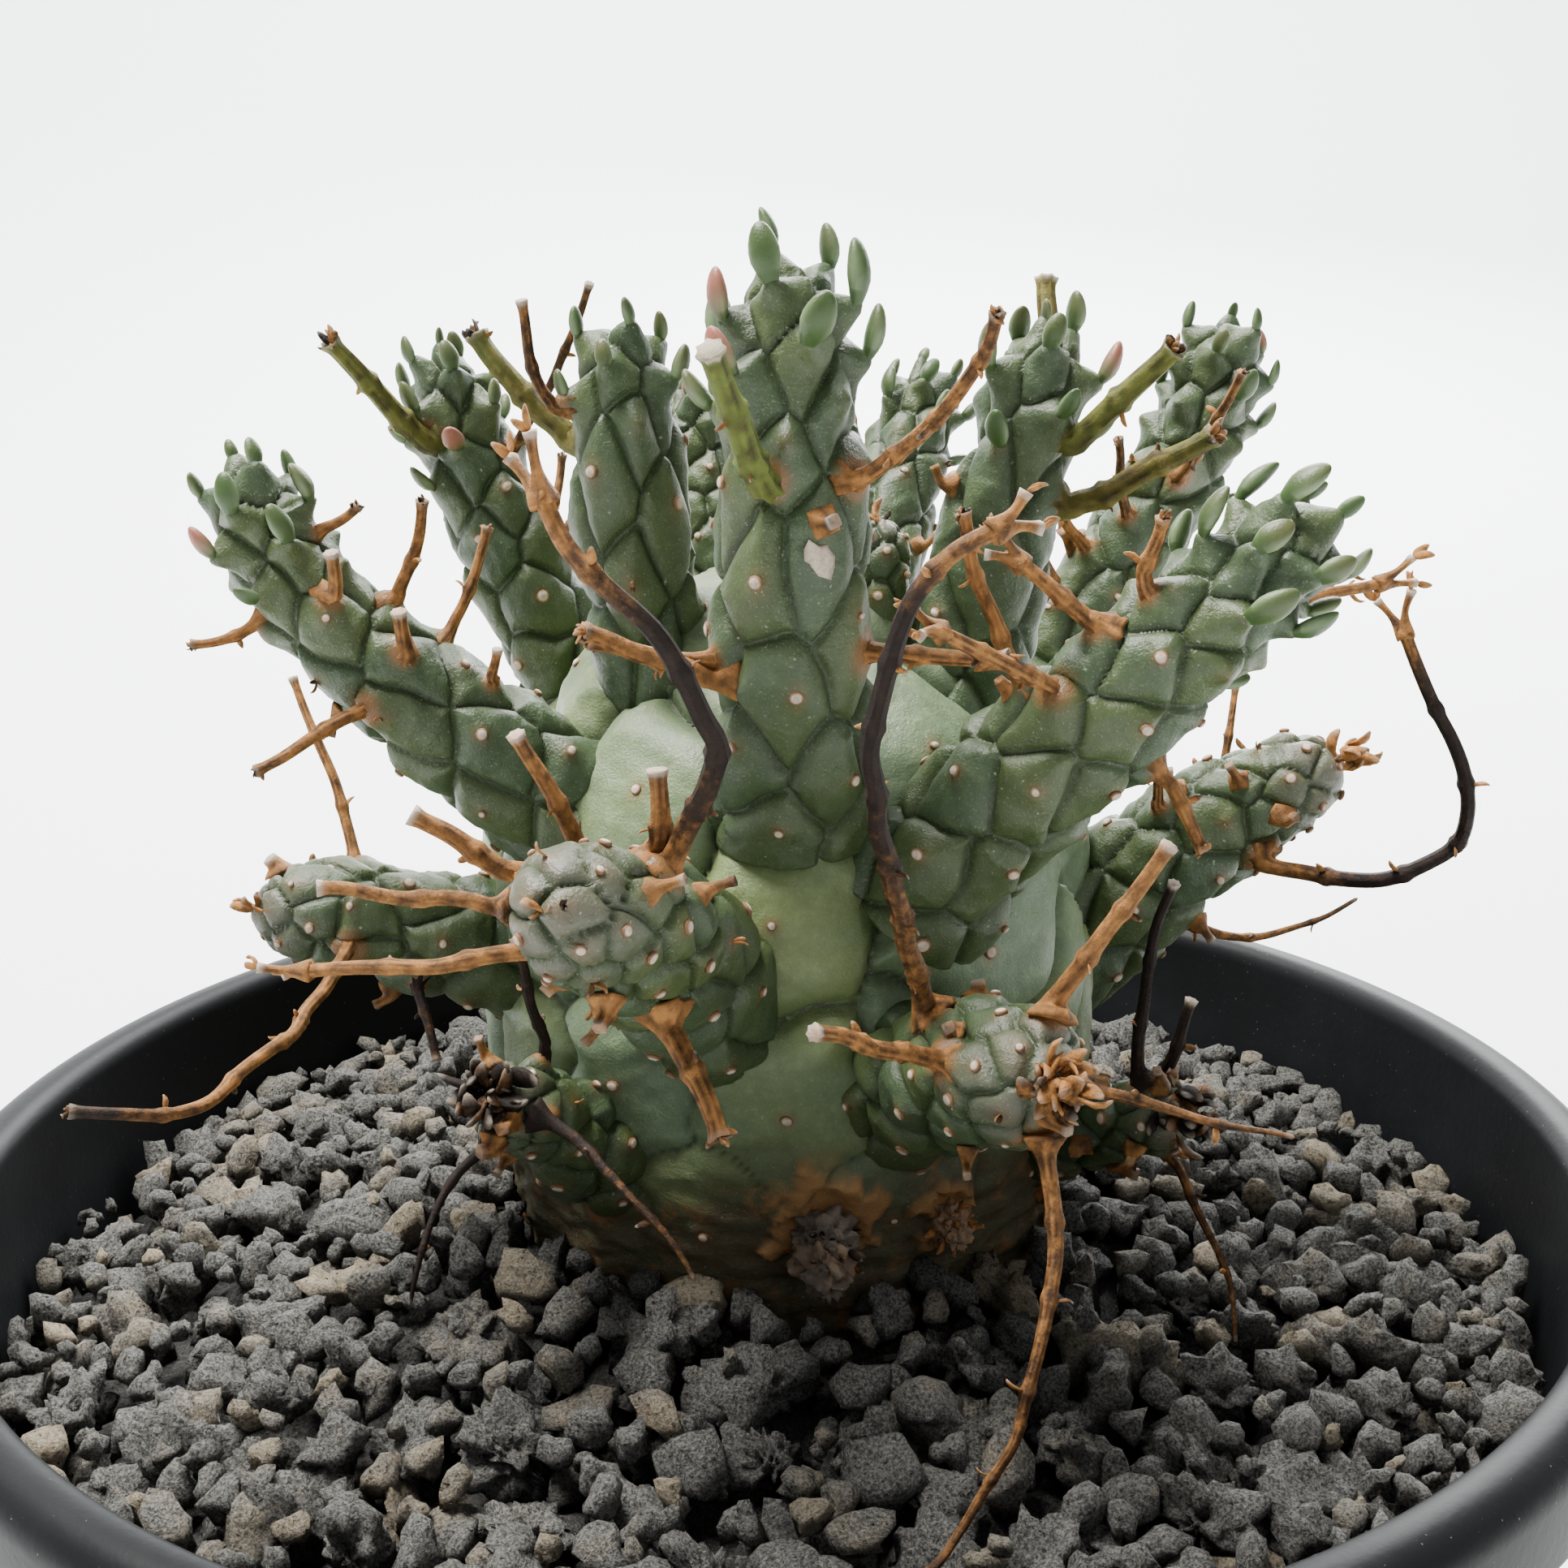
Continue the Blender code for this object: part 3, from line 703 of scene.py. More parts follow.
def make_stem(material):
    around, step = 360, 0.33
    ring = outline("caudex")
    profile = resample(np.array([(r, 0.0, h) for r, h in ring]), ring[:, 0], step)[0][:-2]
    angle = angles(around)
    rad = np.maximum(profile[:, 0], 0.3)
    grid = np.stack([
        STEM_X + rad[:, None] * np.sin(angle), -rad[:, None] * np.cos(angle),
        np.repeat(profile[:, 2:], around, 1),
    ], -1)
    outward = grid_normals(grid).reshape(-1, 3)
    flat = grid.reshape(-1, 3)
    draw = np.random.default_rng(2)
    cells = list(STEM_FRONT)
    for i, (height, count) in enumerate(STEM_ROWS):
        for k in range(count):
            heading = (k + 0.5 * (i % 2)) * 360 / count + draw.uniform(-8, 8)
            if min(abs((heading - h + 180) % 360 - 180) + 2.2 * abs(height - v) for h, v in STEM_FRONT) > 32:
                cells.append((heading, height + draw.uniform(-1.5, 1.5)))
    seeds = []
    for heading, height in cells:
        wide = np.interp(TOP + height, profile[:, 2], profile[:, 0])
        seeds.append(bearing(heading) * wide + (STEM_X, 0, TOP + height))
    seeds = np.array(seeds)
    warp = np.stack([wobble(flat, 11, 20 + k, 2) for k in range(3)], 1) * 0.9
    owner, edge = borders(flat + warp, seeds)
    height = flat[:, 2] - TOP
    bark = 1 - ramp(height + 1.8 * wobble(flat, 12, 9), -2.0, 12.0)
    relief = 0.15 + 0.85 * ramp(height, 3, 17)
    x = np.clip(edge / 3.6, 0, 1)
    swell = 1.5 * relief * (1 - (1 - x) ** 2.4 - 0.75)
    swell -= 0.4 * relief * np.exp(-((edge / 0.3) ** 2))
    scar = np.linalg.norm(flat - seeds[owner], axis=1)
    swell += 0.18 * np.exp(-((scar / 1.1) ** 2))
    swell += 0.3 * wobble(flat, 14, 5, 2)
    wrinkle = wobble(flat * (1, 1, 1.6), 3.2, 6, 3)
    swell += bark * 0.2 * wrinkle + 0.04 * wobble(flat, 1.8, 8)
    points = flat + outward * swell[:, None]
    # Painted shade in the creases, and from 4 mm up a wider band of painted shade round each cell
    creases = np.exp(-((edge / 0.17) ** 2)) * (0.35 + 0.65 * ramp(height, 0, 9))
    marks = {
        "crease_shade": np.clip(creases + 0.34 * np.exp(-((edge / 0.9) ** 2)) * ramp(height, 4, 14), 0, 1),
        "bark": bark, "halo": 0.5 * np.exp(-((scar / 0.6) ** 2)),
        "blush": 0.25 * ramp(height, 30, 41), "cell": draw.uniform(0, 1, len(seeds))[owner],
    }
    rows = len(profile)
    ends = np.array([points[:around].mean(0), points[-around:].mean(0)])
    marks["ember"] = collar = np.zeros(len(flat))
    for heading, low, size, *_ in DEAD:
        wide = np.interp(TOP + low, profile[:, 2], profile[:, 0])
        spot = bearing(heading) * wide + (STEM_X, 0, TOP + low)
        away = np.linalg.norm(flat - spot, axis=1) + 0.7 * wobble(flat, 2.4, 33, 2)
        marks["ember"] = np.maximum(marks["ember"], 1 - ramp(away, size * 1.42, size * 1.62))
        collar = np.maximum(collar, np.exp(-(((away - size * 1.2) / (size * 0.32)) ** 2)))
    points = points + outward * (0.9 * collar)[:, None]
    marks = {k: np.concatenate([v, [v[0], v[-1]]]) for k, v in marks.items()}
    made = piece("caudex_finish", np.vstack([points, ends]),
                 closed(rows, around), material, marks)
    sites = []
    for seed in seeds:
        at = int(np.argmin(((flat - seed) ** 2).sum(1)))
        sites.append(Site(points[at], outward[at], np.array([0, 0, 1.0]), 5.0, 0.0, draw.uniform()))
    STEM["sites"] = sites
    STEM["skin"] = (points, outward)
    STEM["profile"] = (profile[:, 2], profile[:, 0])
    return made


def turned(normal, way, spin=0.0):
    """Axes (side, up along the arm, outward) at a site, spun about the outward one."""
    out = unit(normal)
    side = unit(np.cross(way, out))
    up = np.cross(out, side)
    c, s = math.cos(spin), math.sin(spin)
    return np.array([side * c + up * s, up * c - side * s, out])


def rod(heap, line, radii, tones, live=0.0, flutes=7, knots=(), cup=True, pale_end=1.0):
    """A ribbed dry stalk along a line: swollen at its foot and its knots, its end a shallow cup."""
    line, radii, along = resample(np.asarray(line, float), np.asarray(radii, float), 0.2)
    around = 2 * flutes
    t = along / along[-1]
    rad = radii * (1 + (1.3 - live) * np.exp(-((along / 0.9) ** 2)))
    for k in knots:
        rad = rad * (1 + 0.28 * np.exp(-(((along - k * along[-1]) / 0.38) ** 2)))
    if cup:
        rad = rad * (1 + 0.35 * np.exp(-(((along[-1] - along) / 0.4) ** 2)))
    way, side, other = frames(line)
    angle = angles(around)
    flute = np.where(np.arange(around) % 2, 1.0, -1.0)
    twist = along[:, None] * 0.06
    ring = (side[:, None] * np.cos(angle + twist)[..., None]
            + other[:, None] * np.sin(angle + twist)[..., None])
    depth = 1 + 0.12 * flute
    grid = line[:, None] + ring * (rad[:, None] * depth)[..., None]
    points = grid.reshape(-1, 3)
    ends = np.array([line[0], line[-1] - way[-1] * (0.25 if cup else -0.2)])
    tone = np.repeat(np.interp(t, np.linspace(0, 1, len(tones)), tones), around)
    column = 0.5 + 0.5 * np.sin(np.arange(around) * 2.4 + along[:1] + len(line))
    # Painted shade darkens the furrows between the ribs; the turning columns add real dark streaks
    furrow_shade_and_streaks = 0.5 * np.tile(flute < 0, len(line)) + 0.7 * np.tile(column, len(line)) * (
        0.5 + 0.9 * wobble(points, 1.6, len(line), 2))
    pale = pale_end * np.repeat(ramp(t, 1 - 0.5 / max(along[-1], 0.6), 1.0), around)
    heap.add(
        np.vstack([points, ends]),
        closed(len(line), around),
        tone=np.concatenate([tone, [tone[0], tone[-1]]]),
        ridge=np.concatenate([np.clip(furrow_shade_and_streaks, 0, 1), [0, 0]]),
        pale=np.concatenate([pale, [0, pale_end * 0.4]]),
        live=live,
    )
    return line, way


def scrap(heap, shapes, place, out, way, size, draw, tone):
    """A dried leaf or bract: a thin curled flake."""
    points, faces = shapes["flake"]
    axes = turned(out, way, draw.uniform(0, 6.3))
    long = points[:, 2] * 0.5 + 0.5
    curl = draw.uniform(0.2, 0.9)
    local = np.stack([
        points[:, 0] * size * 0.3 * (1.1 - long * 0.5),
        points[:, 1] * size * 0.09 + np.sin(long * 2.2) * curl * size * 0.5,
        long * size,
    ], 1)
    lean = unit(axes[2] + axes[1] * draw.uniform(-0.5, 0.7) + axes[0] * draw.uniform(-0.6, 0.6))
    side = unit(np.cross(lean, axes[1] + 0.01))
    base = np.stack([side, np.cross(lean, side), lean])
    heap.add(place + local @ base, faces, tone=tone, ridge=0.2 * (long > 0.5),
             pale=0.25 * (long > 0.75), live=0.0)


def fork(heap, shapes, line, way, radius, draw, tone, count=2):
    """The short branches at a stalk's end, each with a cup."""
    end, ahead = line[-1], way[-1]
    side = unit(np.cross(ahead, bearing(draw.uniform(0, 360), 20)))
    for k in range(count):
        turn = k * 2 * math.pi / count + draw.uniform(-0.3, 0.3)
        out = side * math.cos(turn) + np.cross(ahead, side) * math.sin(turn)
        reach = draw.uniform(1.5, 2.7)
        path = [end - ahead * 0.4, end + ahead * reach * 0.5 + out * reach * 0.22,
                end + ahead * reach + out * reach * draw.uniform(0.35, 0.6)]
        rod(heap, path, [radius * 0.8, radius * 0.62, radius * 0.7], (tone, tone * 0.8), flutes=4)
        for _ in range(2):
            scrap(heap, shapes, path[-1], ahead, out, draw.uniform(0.8, 1.4), draw, tone * 0.7)


# How a stalk looks: its tones from foot to end (0 straw, 1 black), how live it is, and its end
Wear = namedtuple("Wear", "tones live end")
WEAR = {
    "long_left": Wear((0.25, 0.75, 0.85, 1.0, 0.95, 0.6, 0.3), 0, "fork"),
    "forked_left": Wear((0.2, 0.25, 0.15), 0, "fork"),
    "curling_left": Wear((0.2, 0.35, 0.3, 0.5, 0.9), 0, "knob"),
    "upright_left": Wear((0.3, 0.3, 0.35), 0, "cup"),
    "hooked_left": Wear((0.15, 0.3, 0.5), 0, "knob"),
    "outer_back_left": Wear((0.2, 0.3, 0.5), 0.85, "knob"),
    "straight_back_left": Wear((0.6, 0.7, 0.65), 0, "cup"),
    "green_front": Wear((0.1, 0.1, 0.2), 1.0, "cup"),
    "red_front": Wear((0.35, 0.5, 0.6, 0.65), 0, "knob"),
    "stub_front": Wear((0.15, 0.1, 0.2), 0, "fork"),
    "crossing_right": Wear((0.15, 0.12, 0.3), 0, "fork"),
    "outer_back_right": Wear((0.4, 0.6, 0.5), 0, "knob"),
    "long_right": Wear((0.5, 0.6, 0.7, 0.9, 1.0, 0.9, 0.35), 0, "fork"),
    "forked_right": Wear((0.15, 0.12, 0.25), 0, "cup"),
    "side_right": Wear((0.12, 0.1, 0.25), 0, "cup"),
    "drooping": Wear((0.45, 0.6, 0.62, 0.7), 0, "point"),
    "upright_right": Wear((0.85, 0.9, 1.0), 0, "cup"),
    "looping_right": Wear((0.2, 0.75, 0.95, 1.0, 1.0, 0.9, 0.5), 0, "fork"),
    "low_right": Wear((0.5, 0.55, 0.8), 0, "point"),
    "outer_right": Wear((0.15, 0.15, 0.4), 0, "fork"),
}

# Stalks too small for the frame: arm, share along it, length and girth in mm, course, wear
Twig = namedtuple("Twig", "arm along length girth course wear")
TWIGS = (
    Twig("left", 0.6, 6.5, 1.1, ((60, 60), (60, 75)), Wear((0.1, 0.3, 0.6), 0, "knob")),
    Twig("left", 0.45, 7, 1.0, ((110, 55), (125, 75)), Wear((0.1, 0.15, 0.5), 0, "knob")),
    Twig("left", 0.7, 3.5, 1.2, ((20, 40), (0, 70)), Wear((0.1, 0.2), 0, "cup")),
    Twig("left", 0.5, 3, 1.3, ((-10, 50), (0, 70)), Wear((0.1, 0.2), 0, "cup")),
    Twig("left", 0.3, 2.4, 0.9, ((20, 60), (20, 80)), Wear((0.3, 0.5), 0, "cup")),
    Twig("left", 0.85, 3, 0.9, ((90, 20), (80, 50)), Wear((0.2, 0.5), 0, "knob")),
    Twig("left", 0.75, 4, 0.9, ((-60, -30), (-80, 10)), Wear((0.3, 0.5), 0, "knob")),
    Twig("front_left", 0.8, 5, 1.5, ((20, 70), (25, 85)), Wear((0.1, 0.1, 0.15), 0, "cup")),
    Twig("front_left", 0.76, 8, 1.3, ((-45, 55), (-60, 65)), Wear((0.1, 0.12, 0.2), 0, "cup")),
    Twig("front_left", 0.9, 7, 1.5, ((-80, 35), (-90, 30)), Wear((0.1, 0.2, 0.4), 0, "cup")),
    Twig("front_left", 0.97, 9, 1.1, ((-75, 10), (-80, 12)), Wear((0.6, 0.5, 0.4), 0, "cup")),
    Twig("front_left", 0.55, 7, 1.7, ((20, -30), (40, -50)), Wear((0.12, 0.15, 0.4), 0, "knob")),
    Twig("low_left", 0.35, 5, 0.9, ((30, -30), (20, -70)), Wear((0.9, 0.8), 0, "cup")),
    Twig("left_of_centre", 0.72, 9, 1.2, ((-90, 40), (-80, 60)), Wear((0.1, 0.3, 0.7), 0.75, "knob")),
    Twig("left_of_centre", 0.85, 7, 1.0, ((-60, 60), (-20, 75)), Wear((0.6, 0.7, 0.6), 0, "cup")),
    Twig("front", 0.3, 9, 1.6, ((-55, 20), (-65, 25)), Wear((0.12, 0.1, 0.3), 0, "knob")),
    Twig("front", 0.34, 7, 1.1, ((-60, 5), (-80, 20)), Wear((0.3, 0.45, 0.2), 0, "knob")),
    Twig("right_front", 0.62, 6, 1.4, ((-70, 35), (-95, 40)), Wear((0.12, 0.12, 0.2), 0, "fork")),
    Twig("right_front", 0.45, 10, 1.3, ((-100, 60), (-90, 80)), Wear((0.12, 0.2, 0.4), 0, "knob")),
    Twig("right_front", 0.74, 4.5, 1.2, ((20, 70), (10, 80)), Wear((0.2, 0.4), 0, "knob")),
    Twig("right_front", 0.5, 5, 1.2, ((60, -50), (80, -60)), Wear((0.2, 0.3), 0, "knob")),
    Twig("right_front", 0.86, 8, 1.1, ((110, 10), (100, 10)), Wear((0.15, 0.2, 0.5), 0, "fork")),
    Twig("right_of_centre", 0.8, 9, 1.2, ((50, 35), (45, 45)), Wear((0.1, 0.1, 0.3), 0.9, "knob")),
    Twig("right_of_centre", 0.6, 10, 1.2, ((75, 20), (60, 35)), Wear((0.1, 0.2, 0.7), 0.7, "knob")),
    Twig("right_of_centre", 0.85, 9, 1.2, ((160, 50), (170, 75)), Wear((0.4, 0.2, 0.1), 0.7, "cup")),
    Twig("back_right", 0.45, 8, 1.1, ((-50, 40), (-60, 70)), Wear((0.12, 0.2, 0.4), 0, "fork")),
    Twig("back_right", 0.55, 7, 1.0, ((-20, 40), (-30, 70)), Wear((0.5, 0.7), 0, "knob")),
    Twig("back_right", 0.3, 9, 1.0, ((-40, 40), (-20, 70)), Wear((0.12, 0.3), 0, "knob")),
    Twig("low_right", 0.75, 6, 0.8, ((150, 60), (155, 75)), Wear((0.6, 0.4), 0, "cup")),
    Twig("low_right", 0.55, 3, 1.0, ((0, 60), (-20, 80)), Wear((0.2, 0.4), 0, "knob")),
    Twig("foot_right", 0.9, 5.5, 1.1, ((60, 60), (40, 80)), Wear((0.9, 1.0, 0.8), 0, "cup")),
    Twig("foot_right", 0.85, 12, 0.9, ((50, -50), (20, -70)), Wear((0.6, 0.7), 0, "point")),
    Twig("foot_right_front", 0.97, 11, 1.0, ((70, -5), (75, -12)), Wear((0.6, 0.65, 0.7), 0, "point")),
    Twig("foot_left", 0.9, 13, 1.1, ((50, -15), (45, -45)), Wear((0.9, 0.8, 0.7), 0, "point")),
    Twig("foot_left", 0.9, 10, 0.9, ((-60, -30), (-30, -80)), Wear((1.0, 0.9), 0, "point")),
    Twig("foot_left", 0.8, 9, 0.9, ((-10, 60), (-20, 75)), Wear((1.0, 0.9, 0.8), 0, "knob")),
    Twig("back_centre", 0.7, 8, 1.0, ((200, 40), (190, 70)), Wear((0.2, 0.3), 0, "knob")),
    Twig("back_high", 0.6, 10, 1.1, ((150, 30), (160, 60)), Wear((0.15, 0.3), 0, "fork")),
    Twig("back_low_left", 0.6, 12, 1.2, ((-120, 30), (-110, 60)), Wear((0.15, 0.4, 0.8), 0, "fork")),
    Twig("back_low_right", 0.6, 14, 1.3, ((130, 30), (120, 65)), Wear((0.2, 0.7, 0.9), 0, "fork")),
    Twig("back_mid", 0.6, 6, 1.0, ((-150, 30), (-150, 60)), Wear((0.15, 0.3), 0, "cup")),
    Twig("back_left", 0.5, 6, 1.0, ((160, 40), (150, 70)), Wear((0.12, 0.3), 0, "knob")),
)


def course_line(start, course, length, steps=14):
    line = [np.asarray(start, float)]
    share = np.linspace(0, 1, len(course))
    for i in range(steps):
        t = (i + 0.5) / steps
        heading = np.interp(t, share, [c[0] for c in course])
        climb = np.interp(t, share, [c[1] for c in course])
        line.append(line[-1] + bearing(heading, climb) * length / steps)
    return np.array(line)


def stalk_roots():
    """Where every stalk leaves its arm, for the browned skin round each foot."""
    found = []
    for name in WEAR:
        if f"stalk_{name}" in NODES:
            centres, radii = levels(f"stalk_{name}")
            found.append((centres[0], radii[0], name))
    for twig in TWIGS:
        arm = GROWN[twig.arm]
        at = int(round(np.interp(twig.along, [0, 1], [16, arm.rows - 8])))
        way = arm.way[at]
        first = bearing(*twig.course[0])
        out = unit(first - way * first.dot(way))
        surface = arm.grid[at][int(np.argmax((arm.grid[at] - arm.spine[at]) @ out))]
        found.append((surface, twig.girth / 2, twig))
    return found


def brown_feet(roots):
    """Browns and swells each arm's skin where a stalk stands on it."""
    for arm in GROWN.values():
        points = arm.grid.reshape(-1, 3)
        raised = np.zeros(len(points))
        for place, radius, _ in roots:
            gap = np.linalg.norm(points - place, axis=1)
            close = float(gap.min())
            if close < 1.6:
                gap = gap - close * 0.6
                halo = np.exp(-((gap / (radius * 1.4)) ** 4))
                arm.marks["halo"] = np.maximum(arm.marks["halo"], halo)
                raised = np.maximum(raised, 0.5 * np.exp(-((gap / (radius * 1.5)) ** 2)))
        outward = grid_normals(arm.grid).reshape(-1, 3)
        arm.grid = (points + outward * raised[:, None]).reshape(arm.grid.shape)


def make_stalks(props, material, shapes):
    draw = np.random.default_rng(props.seed)
    spines = np.vstack([arm.spine for arm in GROWN.values()])
    made = []
    small = Heap()
    for place, radius, what in stalk_roots():
        if isinstance(what, str):
            centres, radii = levels(f"stalk_{what}")
            wear = WEAR[what]
            line, rads = centres, radii * (1.15 if wear.live else 0.6)
            heap = Heap()
        else:
            line = course_line(place, what.course, what.length)
            wear, heap = what.wear, small
            rads = np.linspace(0.36, 0.27, len(line)) * what.girth * (1.75 if wear.live else 1)
        near = spines[int(np.argmin(((spines - line[0]) ** 2).sum(1)))]
        line = np.vstack([line[0] + unit(near - line[0]) * 1.2, line])
        rads = np.concatenate([[rads[0] * 1.15], rads])
        wave = np.stack([wobble(line, 6.5, int(draw.integers(1000)), 1) for _ in range(3)], 1)
        line = line + wave * 0.14 * ramp(np.arange(len(line)), 1, 3)[:, None]
        length = np.linalg.norm(np.diff(line, axis=0), axis=1).sum()
        count = int(length / 5.2)
        knots = [(k + 1) / (count + 1) + draw.uniform(-0.04, 0.04) for k in range(count)]
        if wear.end == "point":
            rads = rads * np.linspace(1.0, 0.45, len(rads))
        live = wear.live
        path, ways = rod(heap, line, rads, wear.tones, live, 7, knots, wear.end != "point",
                         0.9 if wear.end == "cup" else 0.25)
        for k in knots:
            at = int(k * (len(path) - 1))
            out = unit(np.cross(ways[at], bearing(draw.uniform(0, 360), 30)))
            radius = np.interp(k, [0, 1], [rads[1], rads[-1]])
            scrap(heap, shapes, path[at] + out * radius * 0.9, out, ways[at], draw.uniform(0.6, 1.2),
                  draw, draw.uniform(0.1, 0.8))
        if wear.end == "fork":
            fork(heap, shapes, path, ways, rads[-1], draw, wear.tones[-1])
        elif wear.end == "knob":
            for _ in range(7):
                lean = unit(ways[-1] + 0.9 * bearing(draw.uniform(0, 360), draw.uniform(-60, 60)))
                scrap(heap, shapes, path[-1] - ways[-1] * 0.3, lean, ways[-1],
                      rads[-1] * draw.uniform(1.6, 2.6), draw, draw.uniform(0.3, 0.95))
        if heap is not small:
            found = heap.build(f"{what}_stalk_finish", material)
            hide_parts(f"stalk_{what}")
            made.append(found)
    found = small.build("small_stalks", material)
    return made


# The dried rosette on a bare tip: how many flakes, their size, and their lightest and darkest tone
Tuft = namedtuple("Tuft", "flakes size pale dark")
TUFTS = {"foot_right_front": Tuft(52, 1.05, 0.1, 0.8), "foot_left": Tuft(36, 1.4, 0.75, 1.0),
         "foot_right": Tuft(30, 1.2, 0.7, 1.0), "low_right": Tuft(12, 1.1, 0.1, 0.5)}


def make_foot(shapes, material):
    """The dead stubs low on the stem's front."""
    draw = np.random.default_rng(31)
    heap = Heap()
    points, outward = STEM["skin"]
    ball, ball_faces = primitive("ico_sphere", subdivisions=4, radius=1.0)
    for heading, height, size, pale, dark, down in DEAD:
        goal = bearing(heading) * np.interp(TOP + height, *STEM["profile"]) + (STEM_X, 0, TOP + height)
        at = int(np.argmin(((points - goal) ** 2).sum(1)))
        out = unit(outward[at] + (0, 0, down))
        foot = points[at]
        for reach, wide in ((0.35, 0.86), (0.85, 0.82), (1.25, 0.62)):
            knob = ball * (1 + 0.22 * wobble(ball, 0.8, int(reach * 20), 2)
                           - 0.3 * np.abs(wobble(ball, 0.4, int(size * 9), 2)))[:, None]
            centre = foot + out * size * reach + (0, 0, down * reach * size * 0.35)
            heap.add(centre + knob * size * wide * 1.1, ball_faces, tone=draw.uniform(pale, dark),
                     ridge=0.3, pale=0.34, live=0.0)
        for _ in range(34):
            lean = unit(out + 1.2 * bearing(draw.uniform(0, 360), draw.uniform(-80, 80)))
            spot = foot + out * size * draw.uniform(0.3, 1.4) + unit(lean - out * lean.dot(out)) * size * 0.72
            scrap(heap, shapes, spot, lean, out, draw.uniform(0.5, 1.1), draw, draw.uniform(pale, dark))
    found = heap.build("dead_foot_stubs", material)


def make_scars(props, materials, shapes):
    """Leaf scars, stubs and shrivelled leaves on the tubercles that bear no leaf."""
    draw = np.random.default_rng(props.seed + 1)
    scars, stubs = Heap(), Heap()
    dome, faces = shapes["dome"]
    edge = np.hypot(dome[:, 0], dome[:, 1]) * (dome[:, 2] > -0.2) + (dome[:, 2] <= -0.2)
    sites = [(site, arm.leafy and site.along > LEAF_FROM) for arm in GROWN.values() for site in arm.sites]
    sites += [(site, False) for site in STEM["sites"]]
    for site, bears_leaf in sites:
        if bears_leaf or site.place[2] < TOP - 4 or site.along > 0.985:
            continue
        axes = turned(site.normal, site.way, draw.uniform(-0.4, 0.4))
        size = draw.uniform(0.3, 0.5) * (0.75 + 0.05 * site.width)
        if site.draw < 0.7 or site.width > 4.9:
            local = dome * (size, size * draw.uniform(0.75, 1.1), 0.2)
            scars.add(site.place + local @ axes, faces, edge=edge)
        elif site.draw < 0.84:
            length = draw.uniform(0.7, 1.9)
            start = site.place - site.normal * 0.3
            bend = unit(site.normal + site.way * draw.uniform(-0.3, 0.9) + axes[0] * draw.uniform(-0.5, 0.5))
            path = [start, start + site.normal * (0.3 + length * 0.4),
                    start + site.normal * 0.4 + bend * length]
            tone = draw.uniform(0.05, 0.7)
            rod(stubs, path, [size * 1.1, size * 0.75, size * 0.7], (0.2, tone), flutes=4,
                pale_end=draw.uniform(0, 0.8))
        else:
            for _ in range(2 if draw.uniform() < 0.6 else 1):
                scrap(stubs, shapes, site.place - site.normal * 0.1, site.normal, site.way,
                      draw.uniform(0.5, 1.1), draw, draw.uniform(0.2, 0.9))
    # A flake of pale scurf halfway up the front arm
    front = GROWN["front"]
    half = int(0.56 * front.rows)
    row = front.grid[half]
    centre = row.mean(0)
    spot = row[int(np.argmax((row - centre) @ bearing(14)))]
    axes = turned(spot - centre, front.way[half], 0.5)
    lump = dome * (1 + 0.25 * wobble(dome, 0.7, 3, 1))[:, None]
    scars.add(spot + (lump * (0.85, 1.15, 0.22)) @ axes, faces, edge=edge * 0.5)
    # The shrivelled rosettes at the tips of arms that have stopped growing
    for name, arm in GROWN.items():
        if not arm.leafy:
            tuft = TUFTS.get(name, Tuft(5, 1.0, 0.05, 0.6))
            for _ in range(tuft.flakes):
                lean = unit(arm.way[-1] + 0.9 * bearing(draw.uniform(0, 360), draw.uniform(-60, 60)))
                foot = arm.grid[-1].mean(0) + tuft.size * 0.5 * draw.normal(size=3) * (tuft.flakes > 5)
                scrap(stubs, shapes, foot - arm.way[-1] * 0.2, lean, arm.way[-1],
                      draw.uniform(0.9, 2.2) * tuft.size, draw, draw.uniform(tuft.pale, tuft.dark))
    scars.build("leaf_scars", materials["scar"])
    stubs.build("stalk_stubs", materials["stalk"])
    make_foot(shapes, materials["stalk"])


LEAF_LENGTH = {"front": 4.3, "right_front": 3.6, "left": 3.0, "right_of_centre": 3.4}


def make_leaves(material, shapes):
    """Spoon-shaped leaves on the young tubercles, each arm's in one piece."""
    ball, faces = shapes["leaf"]
    long = ball[:, 2] * 0.5 + 0.5
    blade = 0.62 + 0.38 * ramp(long, 0.15, 0.6)
    for name in sorted(LEAFY):
        arm = GROWN[name]
        draw = np.random.default_rng(len(name) * 7 + 1)
        heap = Heap()
        size = LEAF_LENGTH.get(name, 2.9)
        for site in arm.sites:
            if site.along < LEAF_FROM or (site.along < 0.8 and site.draw < 0.45):
                continue
            near_tip = ramp(site.along, 0.7, 1.0)
            length = size * draw.uniform(0.72, 1.08) * (1.0 - 0.35 * ramp(site.along, 0.93, 1.0))
            heading = unit(site.normal * (0.85 - 0.5 * near_tip) + site.way * (0.5 + 0.9 * near_tip)
                           + 0.16 * draw.normal(size=3))
            side = unit(np.cross(heading, site.normal + 0.01))
            inward = np.cross(side, heading)
            bend = draw.uniform(0.15, 0.4) * length
            wide = length * draw.uniform(0.22, 0.27)
            local = np.stack([
                ball[:, 0] * wide * blade,
                ball[:, 1] * wide * 0.7 * blade + bend * (long**2 - long * 0.3) * np.sign(inward @ site.way),
                long * length,
            ], 1)
            start = site.place - site.normal * 0.45 - heading * 0.55
            red = 0.8 if draw.uniform() < 0.06 else 0.12 * draw.uniform()
            heap.add(start + local @ np.stack([side, inward, heading]), faces,
                     edge=np.abs(ball[:, 0]) * (long > 0.35), blush=red * ramp(long, 0.2, 0.9))
        found = heap.build(f"{name}_leaves_finish", material)
        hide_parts(f"leaves_{name}")


